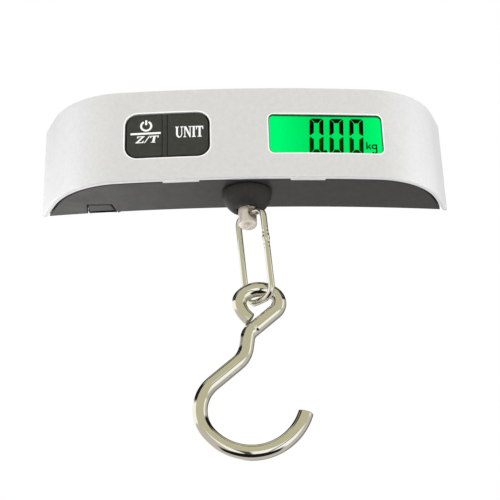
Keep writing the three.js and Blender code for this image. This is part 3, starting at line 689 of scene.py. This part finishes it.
def stud_collar():
    top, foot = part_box("stud_collar")[1].z / MM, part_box("stud_collar")[0].z / MM
    centre, inner = SHELL_LOW.z, STUD_R + GAP
    last = math.acos((centre - foot) / DOME_R)
    steps, start = 24, math.pi / 2 - 0.05
    turns = [start - (math.pi / 2 - last - 0.12) * i / steps for i in range(steps + 1)]
    dome = [(DOME_R * math.sin(a), centre - DOME_R * math.cos(a), 0) for a in turns]
    profile = rounded_profile([
        (inner, top, 0), *dome, (DOME_R * math.sin(last) - 0.2, foot, 0.5), (inner, foot, 0.3),
        (inner, top, 0),
    ])
    piece = turned_piece("stud_collar_skin", profile, DOME_BLACK)
    bm = bmesh.new()
    bm.from_mesh(piece.data)
    bmesh.ops.remove_doubles(bm, verts=bm.verts, dist=1e-7)
    bm.to_mesh(piece.data)
    bm.free()
    finish_piece(piece, "handle", "black_collar", "stud_collar")


# ---------- Screws ----------
def case_screws():
    for number, (x, z) in enumerate(CASE_SCREWS, 1):
        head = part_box(f"case_screw_{number}")[1].y / MM
        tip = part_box(f"case_screw_{number}")[0].y / MM
        profile = rounded_profile([
            (0, tip, 0), (0.45, tip, 0), (0.9, tip + 0.8, 0), (0.9, head - 0.9, 0),
            (1.9, head - 0.9, 0.1), (1.9, head - 0.12, 0.3), (1.0, head, 0.4), (0, head, 0),
        ])
        screw = turned_piece(f"case_screw_{number}_skin", profile, SCREW_STEEL, from_front(x, z), sides=40)
        for width, height in ((2.3, 0.55), (0.55, 2.3)):
            bm = bmesh.new()
            recess = rounded_rect(x, z, width, height, 0.12, 2)
            add_plate(bm, [recess], [(0, -0.6), (0, 1.0)], lambda u, v, w: upright(u, v, head + w))
            cut_piece(screw, make_piece("recess", bm, SCREW_STEEL))
        finish_piece(screw, "handle", "stud_steel", f"case_screw_{number}")


# ---------- Keys and their legends ----------
def key_outline(side, grow):
    """The half of the rounded key pair on one side of the rib."""
    width, height, radius = KEYS["width"] + 2 * grow, KEYS["height"] + 2 * grow, KEYS["radius"] + grow
    edge = KEYS["x"] + KEY_SPLIT + side * KEY_GAP / 2
    far = KEYS["x"] + side * width / 2
    low, high = KEYS["z"] - height / 2, KEYS["z"] + height / 2
    small = 0.45
    corners = [(edge, low, small), (far, low, radius), (far, high, radius), (edge, high, small)]
    return filleted(corners if side > 0 else [corners[i] for i in (3, 2, 1, 0)], 12)


def key_caps():
    cuts = front_cuts((-36, -10))
    for side, name in ((-1, "power_key"), (1, "unit_key")):
        plates = [
            ([key_outline(side, -KEY_INSET)], rim(0.15, 2.4, 0.4, 0.05, 5), on_front, cuts),
            ([key_outline(side, KEY_FLANGE)], rim(1.85, 2.5, 0.05, 0.05, 2), on_front, cuts),
        ]
        finish_piece(plate_piece(f"{name}_cap", plates, RUBBER), name, "key_rubber", name)
    rib = rounded_rect(KEYS["x"] + KEY_SPLIT, KEYS["z"], KEY_GAP - 2 * RIB_ROOM, KEYS["height"] - 0.4, 0.2, 4)
    plates = [
        ([rib], rim(0.2, 4.2, 0.12, 0.05), on_front, ()),
        ([wider(KEYS, 1.6, 3, 6)], rim(4.0, 4.6, 0.1, 0.1, 2), on_front, cuts),
    ]
    finish_piece(plate_piece("keypad_rib", plates, RUBBER), "handle", "key_rubber", "keypad_mat")


INK_THICK = 0.03
LEGEND_DEPTH = 0.15


def ink_piece(name, shapes, place, depth, material, body):
    """Thin printed shapes, each a simple polygon, raised by the ink's own thickness."""
    bm = bmesh.new()
    for shape in shapes:
        area = sum(a[0] * b[1] - b[0] * a[1] for a, b in zip(shape, shape[1:] + shape[:1]))
        loop = shape if area > 0 else shape[::-1]
        add_plate(bm, [loop], [(0, depth - INK_THICK), (0, depth + INK_THICK)], place)
    finish_piece(make_piece(name, bm, material), body, None)


def bar(x0, x1, y0, y1):
    return [(x0, y0), (x1, y0), (x1, y1), (x0, y1)]


def stroke_arc(cx, cy, inner, outer, start, end, steps=28):
    return arc(cx, cy, outer, start, end, steps) + arc(cx, cy, inner, end, start, steps)


# Serif capitals on a unit height, as simple polygons, with their widths.
def letter_u():
    outer = [math.pi + math.pi * i / 12 for i in range(1, 12)]
    inner = [-math.pi * i / 10 for i in range(1, 10)]
    bowl = [(0.08, 0.97), (0.08, 0.34)]
    bowl += [(0.47 + 0.39 * math.cos(a), 0.34 + 0.36 * math.sin(a)) for a in outer]
    bowl += [(0.86, 0.34), (0.86, 0.97), (0.75, 0.97), (0.75, 0.34)]
    bowl += [(0.535 + 0.215 * math.cos(a), 0.34 + 0.26 * math.sin(a)) for a in inner]
    bowl += [(0.32, 0.34), (0.32, 0.97)]
    return [bowl, bar(0, 0.42, 0.92, 1), bar(0.64, 0.97, 0.92, 1)], 0.97


def letter_n():
    diagonal = [(0.1, 1), (0.36, 1), (0.9, 0.16), (0.9, -0.02), (0.8, -0.02), (0.1, 0.96)]
    return [
        diagonal, bar(0.12, 0.23, 0.04, 0.9), bar(0.8, 0.91, 0.0, 0.96),
        bar(0, 0.36, 0, 0.08), bar(0, 0.34, 0.92, 1), bar(0.66, 1.03, 0.92, 1),
    ], 1.03


def letter_i():
    return [bar(0.11, 0.36, 0.04, 0.96), bar(0, 0.47, 0, 0.08), bar(0, 0.47, 0.92, 1)], 0.47


def letter_t():
    left = [(0, 1), (0, 0.68), (0.07, 0.68), (0.16, 0.9), (0.16, 1)]
    right = [(0.92 - x, y) for x, y in left]
    return [bar(0.02, 0.9, 0.89, 1), left, right, bar(0.33, 0.59, 0.04, 0.96), bar(0.2, 0.72, 0, 0.08)], 0.92


def letter_z():
    diagonal = [(0.02, 0.04), (0.28, 0.04), (0.88, 0.96), (0.62, 0.96)]
    top = [(0.08, 1), (0.08, 0.7), (0.15, 0.7), (0.24, 0.88), (0.88, 0.88), (0.88, 1)]
    foot = [(0.02, 0), (0.9, 0), (0.9, 0.34), (0.83, 0.34), (0.72, 0.12), (0.02, 0.12)]
    return [diagonal, top, foot], 0.92


def slash():
    return [[(0, 0), (0.12, 0), (0.5, 1), (0.38, 1)]], 0.5


def word(letters, x, y, width, height, slant=0.0, space=0.05):
    """Sets letters from x to x + width on the line y. Slant leans them to the right."""
    made = [letter() for letter in letters]
    natural = sum(size for _, size in made) + space * (len(made) - 1)
    stretch = width / (natural * height)
    shapes, pen = [], 0.0
    for polygons, size in made:
        for polygon in polygons:
            across = [x + ((pen + px) * stretch + slant * py) * height for px, py in polygon]
            shapes.append([(u, y + py * height) for u, (_, py) in zip(across, polygon)])
        pen += size + space
    return shapes


def legends():
    left = KEYS["x"] - KEYS["width"] / 2
    top = KEYS["z"] + KEYS["height"] / 2
    middle, high = left + 6.0, top - 3.85
    power = [
        stroke_arc(middle, high, 1.2, 1.8, 118, 422),
        bar(middle - 0.3, middle + 0.3, high + 0.35, high + 1.95),
    ]
    line = [bar(left + 1.4, left + 10.3, top - 6.65, top - 6.0)]
    tare = word([letter_z, slash, letter_t], left + 2.8, top - 9.4, 6.5, 2.25, 0.2)
    ink_piece("power_legend", power + line + tare, on_front, LEGEND_DEPTH, INK, "power_key")
    unit = word([letter_u, letter_n, letter_i, letter_t], left + 14.6, top - 8.05, 8.15, 3.6)
    ink_piece("unit_legend", unit, on_front, LEGEND_DEPTH, INK, "unit_key")


# ---------- Display ----------
GLASS_DEPTH = 3.25
DIGIT = {"left": 13.0, "pitch": 5.98, "width": 4.2, "height": 11.7, "bar": 1.3, "top": 1.0, "lean": 0.05}
POINT = {"across": 17.2, "down": 12.0, "radius": 0.55}
UNIT_SIGN = {"across": 29.5, "down": 11.05, "size": 0.88}
SIGHT_SHIFT = {"across": -0.3, "up": 1.15}  # the glass lies behind the window and is read from below


def digit_zero(x, top):
    """The three upper and the three lower segments of a zero, from its left edge and top."""
    width, half, thick = DIGIT["width"], DIGIT["height"] / 2, DIGIT["bar"]
    cap = [(0.42, 0), (width - 0.42, 0), (width - 0.55, -0.12), (width - thick - 0.3, -thick - 0.12),
           (thick + 0.3, -thick - 0.12), (0.55, -0.12)]
    side = [(0.02, -0.55), (0.3, -0.2), (0.42, -0.24), (thick, -thick - 0.05), (thick, 1.1 - half),
            (0.42, 0.35 - half), (0.0, 0.35 - half)]
    shapes = [cap, side, [(width - px, py) for px, py in side]]
    lean = DIGIT["lean"]
    upper = [[(x + px + lean * py, top + py) for px, py in shape] for shape in shapes]
    lower = [[(x + px - lean * (2 * half + py), top - 2 * half - py) for px, py in shape] for shape in shapes]
    return upper, lower


def unit_letters(x, base):
    """Lower-case k and g in a plain sans form, drawn 2.7 tall and then scaled."""
    size = UNIT_SIGN["size"]
    bold, outer, middle = 0.46, 0.95, 2.75
    shapes = [
        bar(0, bold, 0, 2.7),
        [(bold, 0.75), (1.1, 1.85), (1.7, 1.85), (bold, 0.3)],
        [(0.62, 1.0), (1.2, 0), (1.75, 0), (0.95, 1.35)],
        stroke_arc(middle, outer, outer - bold, outer, 0, 359.9),
        bar(middle + outer - bold, middle + outer, -0.75, 1.88),
        stroke_arc(middle, -0.75, outer - bold, outer, 200, 360, 14),
    ]
    return [[(x + size * px, base + size * py) for px, py in shape] for shape in shapes]


def display():
    left = -WINDOW["width"] / 2 + SIGHT_SHIFT["across"]
    top = WINDOW["height"] / 2 + SIGHT_SHIFT["up"]
    half_x, half_z = 18.3, 7.6
    face = rounded_rect(0, 0, 2 * half_x, 2 * half_z, 0.4, 3)
    face_profile = rim(GLASS_DEPTH, GLASS_DEPTH + 1.3, 0.1, 0.1, 2)
    piece = plate_piece("lcd_face", [([face], face_profile, on_window, ())], GLOW)
    finish_piece(piece, "handle", "display_glow", "lcd_glass")
    dark, pale = [], []
    for number in range(3):
        upper, lower = digit_zero(left + DIGIT["left"] + DIGIT["pitch"] * number, top - DIGIT["top"])
        dark += upper
        pale += lower
    pale.append(arc(left + POINT["across"], top - POINT["down"], POINT["radius"], 0, 360, 16)[:-1])
    pale += unit_letters(left + UNIT_SIGN["across"], top - UNIT_SIGN["down"])
    ink_depth = GLASS_DEPTH - 0.04
    ink_piece("lcd_upper_segments", dark, on_window, ink_depth, LCD_INK, "handle")
    ink_piece("lcd_lower_segments", pale, on_window, ink_depth, PALE_LCD_INK, "handle")
    width, height, radius = WINDOW["width"], WINDOW["height"], WINDOW["radius"]
    step = 1.85
    flange = rounded_rect(0, 0, width + 3, height + 3, radius + 1.5)
    profile = [(step + inset, depth) for inset, depth in rim(0.8, 2.2, 0.15, 0, 3)]
    profile += rim(2.25, 2.95, 0.05, 0.05, 2)
    piece = plate_piece("display_lens", [([flange], profile, on_window, ())], LENS)
    finish_piece(piece, "handle", "display_lens", "lcd_lens")
    bezel_outer = rounded_rect(0, 0, width - 0.06, height - 0.06, radius - 0.03)
    bezel_inner = rounded_rect(0, 0, width - 0.36, height - 0.36, radius - 0.18)
    bezel = [([bezel_outer, bezel_inner], rim(0.45, 1.5, 0.05, 0.05, 2), on_window, ())]
    finish_piece(plate_piece("window_bezel", bezel, BLACK), "handle", "black_shell")


# ---------- Load train ----------
def hook_stud():
    low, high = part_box("hook_stud")[0].z / MM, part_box("hook_stud")[1].z / MM
    seat, nose, steps = -20.2, 1.7, 12
    quarter = [math.pi / 2 * i / steps for i in range(steps + 1)]
    profile = [(STUD_R * math.sin(a), low + nose * (1 - math.cos(a))) for a in quarter]
    profile += rounded_profile([
        (STUD_R, low + nose + 0.1, 0), (STUD_R, seat - 1.4, 0.1), (3.4, seat - 1.2, 0.1), (3.4, seat, 0.1),
        (1.6, seat, 0), (1.6, high, 0.2), (0, high, 0),
    ])
    piece = turned_piece("hook_stud_skin", profile, SATIN)
    waist, mouth, reach = 1.45, 3.4, 4.0
    hole = [(0, -reach)]
    for i in range(2 * steps + 1):
        t = i / steps - 1
        hole.append((waist + (mouth - waist) * abs(t) ** 2.4, t * reach))
    hole.append((0, reach))
    turn = Matrix.Rotation(EYE_TURN, 4, "Z") @ Matrix.Rotation(math.pi / 2, 4, "Y")
    cutter = turned_piece("eye", hole, SATIN, Matrix.Translation((0, 0, EYE_Z * MM)) @ turn, sides=48)
    cut_piece(piece, cutter)
    finish_piece(piece, "stud", "stud_steel", "hook_stud")


LINK = {"wire": 0.95, "width": 10.6, "height": 27.1, "top_bend": 2.9, "low_bend": 3.5}
LINK_TOP_Z = -36.25
LINK_SHIFT = 1.0
LINK_LEAN, LINK_TILT = -0.03, 0.0742
WELD_DROP = 9.5


def wire_link():
    width, height = LINK["width"], LINK["height"]
    top_bend, low_bend = LINK["top_bend"], LINK["low_bend"]
    path = bent_path(width / 2, -WELD_DROP, 180, [
        ("run", height - WELD_DROP - low_bend), ("bend", low_bend, 270), ("run", width - 2 * low_bend),
        ("bend", low_bend, 360), ("run", height - low_bend - top_bend), ("bend", top_bend, 450),
        ("run", width - 2 * top_bend), ("bend", top_bend, 540), ("run", WELD_DROP - top_bend),
    ], 0.22)
    total = path[-1][3]

    def radius_at(run, angle):
        from_weld = min(run, total - run)
        way = 1 if run < total / 2 else -1
        crown = 0.2 * math.exp(-((from_weld / 0.75) ** 2))
        lumps = 0.07 * math.exp(-((from_weld / 2.2) ** 2)) * math.sin(way * from_weld * 5.1 + 3 * angle)
        return LINK["wire"] + crown + lumps

    lean, tilt = Matrix.Rotation(LINK_LEAN, 4, "Y"), Matrix.Rotation(LINK_TILT, 4, "X")
    shift = Vector((LINK_SHIFT * math.cos(EYE_TURN), LINK_SHIFT * math.sin(EYE_TURN), LINK_TOP_Z)) * MM
    place = Matrix.Translation(shift) @ Matrix.Rotation(EYE_TURN, 4, "Z") @ tilt @ lean
    piece = wire_piece("wire_link_skin", path, radius_at, POLISHED, sides=24, closed=True, matrix=place)
    finish_piece(piece, "link", "polished_steel", "wire_link")


HOOK_R = 2.14
HOOK_START = (-0.21, -69.03, -52.1)
HOOK_BENDS = [
    ("bend", 8, -25.6), ("run", 0.8), ("bend", 3.3, 45), ("bend", 6.6, 135), ("bend", 3.3, 230.5),
    ("run", 8.7), ("bend", 3.65, 189), ("run", 2.8), ("bend", 7, 230.7), ("run", 9.1), ("bend", 9.85, 138),
    ("bend", 15.6, 18),
]
CRIMP_RUNS = (32.4, 33.3, 34.2)
CRIMP_SIZE, CRIMP_SIDE = 0.28, math.pi * 0.68


def load_hook():
    path = bent_path(*HOOK_START, HOOK_BENDS, 0.42)
    total = path[-1][3]
    first, last = path[0], path[-1]

    def along(point, distance):
        x, z, heading, run = point
        return (x + distance * math.sin(heading), z + distance * math.cos(heading), heading, run + distance)

    near_first = [along(first, distance) for distance in (0.06, 0.14, 0.28)]
    near_last = [along(last, distance) for distance in (-0.28, -0.14, -0.06)]
    path = [first, *near_first, *path[1:-1], *near_last, last]

    def radius_at(run, angle):
        edge = 0.3
        from_end = min(run, total - run)
        radius = HOOK_R
        if from_end < edge:
            radius -= edge - math.sqrt(edge**2 - (edge - from_end) ** 2)
        facing = max(0.0, math.cos(angle + CRIMP_SIDE)) ** 3
        for crimp in CRIMP_RUNS:
            radius -= CRIMP_SIZE * facing * math.exp(-(((run - crimp) / CRIMP_SIZE) ** 2))
        return radius

    piece = wire_piece("load_hook_skin", path, radius_at, POLISHED, sides=48)
    piece.data.materials.append(CUT_FACE)
    for face in piece.data.polygons:
        if len(face.vertices) > 4:
            face.material_index = 1
    finish_piece(piece, "hook", "polished_steel", "load_hook")


# ---------- Battery bay ----------
def battery_bay():
    x, z = -43, -14.6
    place = from_front(x, z)
    front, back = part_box("coin_cell")[0].y / MM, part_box("coin_cell")[1].y / MM
    profile = rounded_profile([
        (0, front, 0), (8.6, front, 0.2), (8.6, front + 0.4, 0.1), (10, front + 0.6, 0.3), (10, back, 0.5),
        (9.2, back, 0.05), (9.1, back - 0.06, 0.05), (8.8, back - 0.06, 0.05), (8.7, back, 0.05),
        (0, back, 0),
    ])
    cell = turned_piece("coin_cell_skin", profile, CELL_STEEL, place, sides=96)
    finish_piece(cell, "handle", "stud_steel", "coin_cell")
    plus = [bar(x - 1.6, x + 1.6, z - 0.25, z + 0.25), bar(x - 0.25, x + 0.25, z - 1.6, z + 1.6)]
    ink_piece("cell_plus", plus, upright, back, SCREW_STEEL, "handle")
    tray_front, tray_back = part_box("battery_tray")[0].y / MM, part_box("battery_tray")[1].y / MM
    outer, inner, base = 10.9, 10.4, 0.7
    profile = rounded_profile([
        (0, tray_front, 0), (outer, tray_front, 0.2), (outer, tray_back, 0.15), (inner, tray_back, 0.15),
        (inner, tray_front + base, 0.1), (0, tray_front + base, 0),
    ])
    tray = turned_piece("battery_tray_skin", profile, BLACK, place, sides=96)
    finish_piece(tray, "handle", "black_shell", "battery_tray")


# ---------- CAD pieces that keep their own shape ----------
KEPT = (
    (WHITE, "lcd_backlight", "backlight_led"), (BLACK, "lcd_holder"), (BOARD_GREEN, "main_board"),
    (FOIL, "display_ribbon", "capacitor_1", "capacitor_2", "strain_gauge_top", "strain_gauge_bottom"),
    (RESIN, "converter_chip"), (ALUMINIUM, "load_beam"), (SATIN, "stud_washer", "stud_nut"),
    (CELL_STEEL, "cell_spring", "cell_clip"),
    (SCREW_STEEL, "board_screw_1", "board_screw_2", "beam_screw_1", "beam_screw_2"),
)


def paint_kept():
    for material, *names in KEPT:
        for name in names:
            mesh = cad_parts[name].data
            mesh.materials.clear()
            mesh.materials.append(material)


# ---------- Studio ----------
LENS_PLACE = (-0.00948, -0.29145, -0.1695)
LENS_LENGTH = 78.57
LENS_TURNS = (-1.939, -22.701, 1.809)


def camera():
    azimuth, elevation, roll = (math.radians(turn) for turn in LENS_TURNS)
    back = Vector((
        math.sin(azimuth) * math.cos(elevation), -math.cos(azimuth) * math.cos(elevation), math.sin(elevation)
    ))
    level_right = Vector((math.cos(azimuth), math.sin(azimuth), 0))
    level_up = back.cross(level_right)
    right = level_right * math.cos(roll) - level_up * math.sin(roll)
    up = level_up * math.cos(roll) + level_right * math.sin(roll)
    data = bpy.data.cameras.new("camera")
    data.lens = LENS_LENGTH
    data.sensor_width = 36
    data.clip_start = 0.01
    lens = bpy.data.objects.new("camera", data)
    turn = Matrix((right, up, back)).transposed().to_4x4()
    lens.matrix_world = Matrix.Translation(LENS_PLACE) @ turn
    scene.collection.objects.link(lens)
    scene.camera = lens


def area_light(name, place, target, width, height, power):
    data = bpy.data.lights.new(name, "AREA")
    data.shape = "RECTANGLE"
    data.size, data.size_y = width, height
    data.energy = power
    light = bpy.data.objects.new(name, data)
    light.location = place
    light.rotation_mode = "QUATERNION"
    light.rotation_quaternion = (Vector(place) - Vector(target)).to_track_quat("Z", "Y")
    light.visible_glossy = False
    scene.collection.objects.link(light)


def lights():
    """Soft boxes that light the paint but don't show in the polished wire, which mirrors only the room."""
    middle = (0, 0, -0.03)
    area_light("left_box", (-0.6, -0.08, -0.02), middle, 0.25, 0.7, 2.6)
    area_light("right_box", (0.6, -0.08, -0.02), middle, 0.25, 0.7, 2.9)
    area_light("top_box", (0.0, -0.25, 0.7), middle, 0.9, 0.5, 2.2)


def floor():
    size, drop = 3, -0.32
    bm = bmesh.new()
    bmesh.ops.create_grid(bm, x_segments=1, y_segments=1, size=size)
    bmesh.ops.translate(bm, verts=bm.verts, vec=(0, 0, drop))
    material = principled("pale_floor", (0.86, 0.86, 0.85), 0.8)
    plane = make_piece("floor", bm, material)
    plane.visible_glossy = False


class Nodes:
    """Maths nodes of the studio's surroundings."""

    def __init__(self, tree):
        self.tree = tree

    def value(self, operation, a, b=0.0):
        node = self.tree.nodes.new("ShaderNodeMath")
        node.operation = operation
        self.feed(node.inputs[0], a)
        self.feed(node.inputs[1], b)
        return node.outputs[0]

    def feed(self, socket, source):
        if isinstance(source, bpy.types.NodeSocket):
            self.tree.links.new(source, socket)
        else:
            socket.default_value = source

    def rise(self, source, start, end):
        """0 before start and 1 after end, smoothly. A start above the end falls instead."""
        node = self.tree.nodes.new("ShaderNodeMapRange")
        node.interpolation_type = "SMOOTHSTEP"
        flip = start > end
        low, high = sorted((start, end))
        set_sockets(node, From_Min=low, From_Max=high, To_Min=float(flip), To_Max=float(not flip))
        self.feed(node.inputs["Value"], source)
        return node.outputs["Result"]

    def both(self, *shares):
        """The product of the shares, so 1 only where all of them are 1."""
        total = shares[0]
        for share in shares[1:]:
            total = self.value("MULTIPLY", total, share)
        return total

    def mix(self, share, a, b):
        node = self.tree.nodes.new("ShaderNodeMix")
        node.data_type = "RGBA"
        first, second = [socket for socket in node.inputs if socket.type == "RGBA"]
        self.feed(node.inputs["Factor"], share)
        self.feed(first, a if isinstance(a, bpy.types.NodeSocket) else (*a, 1))
        self.feed(second, b if isinstance(b, bpy.types.NodeSocket) else (*b, 1))
        return next(socket for socket in node.outputs if socket.type == "RGBA")


KHAKI, WHITE_WALL, BLUSH = (0.57, 0.55, 0.385), (1.1, 1.1, 1.07), (0.60, 0.555, 0.49)
SHADE, DUSK, NIGHT = (0.16, 0.14, 0.13), (0.06, 0.055, 0.05), (0.012, 0.011, 0.011)
PALE_TABLE, DIM_TABLE, LEFT_TABLE = (0.60, 0.555, 0.52), (0.28, 0.28, 0.27), (1.2, 1.2, 1.17)
DULL_LIGHT = (0.84, 0.84, 0.84)
AHEAD_SPREAD = 0.577  # ahead reaches 60 degrees to either side
LENS_ACROSS = -0.03


def mirrored_room(maths, x, y, z):
    """What polished metal sees, by direction.

    Ahead is khaki, the left is white, and the right is a bright strip, blush and shade. There is a dark band
    above. Low ahead it is dark and then black with two bright patches, and low behind it is pale."""
    aside = maths.value("ABSOLUTE", x)
    spread = maths.value("MULTIPLY", aside, AHEAD_SPREAD)
    ahead = maths.value("SUBTRACT", maths.value("MULTIPLY", y, -1.0), spread)
    strip = maths.both(maths.rise(ahead, -0.42, -0.34), maths.rise(x, 0.1, 0.3))
    right = maths.mix(strip, BLUSH, WHITE_WALL)
    right = maths.mix(maths.rise(y, 0.45, 0.6), right, SHADE)
    colour = maths.mix(maths.rise(x, -0.06, 0.06), WHITE_WALL, right)
    colour = maths.mix(maths.rise(z, 0.38, 0.49), colour, NIGHT)
    colour = maths.mix(maths.rise(z, 0.74, 0.82), colour, KHAKI)
    far_left = maths.rise(x, 0.02, -0.12)
    shallow = maths.both(maths.rise(z, -0.66, -0.5), maths.rise(y, 0.3, 0.5))
    table = maths.mix(shallow, PALE_TABLE, maths.mix(far_left, DIM_TABLE, LEFT_TABLE))
    table = maths.mix(maths.rise(ahead, -0.05, 0.05), table, maths.mix(strip, PALE_TABLE, WHITE_WALL))
    colour = maths.mix(maths.rise(z, -0.06, -0.14), colour, table)
    facing = maths.both(maths.rise(ahead, -0.04, 0.04), maths.rise(z, -0.24, -0.16))
    colour = maths.mix(facing, colour, KHAKI)
    near = maths.both(maths.rise(z, 0.06, -0.02), maths.rise(y, -0.12, -0.22), maths.rise(aside, 0.36, 0.26))
    low = maths.both(maths.rise(z, -0.56, -0.66), maths.rise(y, -0.06, -0.16), maths.rise(aside, 0.62, 0.52))
    colour = maths.mix(low, maths.mix(near, colour, DUSK), NIGHT)
    from_lens = maths.value("ABSOLUTE", maths.value("SUBTRACT", x, LENS_ACROSS))
    patch = maths.both(
        maths.rise(from_lens, 0.035, 0.06), maths.rise(from_lens, 0.30, 0.24), maths.rise(z, 0.1, 0.04),
        maths.rise(z, -0.56, -0.5), maths.rise(y, -0.3, -0.4),
    )
    return maths.mix(patch, colour, WHITE_WALL)


def surroundings():
    """A white room for the camera, even grey light for dull surfaces, and a room of its own for mirrors."""
    world = bpy.data.worlds.new("studio")
    scene.world = world
    world.use_nodes = True
    tree = world.node_tree
    maths = Nodes(tree)
    direction = tree.nodes.new("ShaderNodeTexCoord").outputs["Generated"]
    split = tree.nodes.new("ShaderNodeSeparateXYZ")
    tree.links.new(direction, split.inputs[0])
    colour = mirrored_room(maths, *split.outputs)
    rays = tree.nodes.new("ShaderNodeLightPath")
    colour = maths.mix(rays.outputs["Is Glossy Ray"], DULL_LIGHT, colour)
    colour = maths.mix(rays.outputs["Is Camera Ray"], colour, (1.0, 1.0, 1.0))
    tree.links.new(colour, tree.nodes["Background"].inputs["Color"])


scene.view_settings.view_transform = "Standard"
camera()
surroundings()
lights()
floor()
front_cover()
housing()
rear_cover()
battery_door()
stud_collar()
case_screws()
key_caps()
legends()
display()
hook_stud()
wire_link()
load_hook()
battery_bay()
paint_kept()
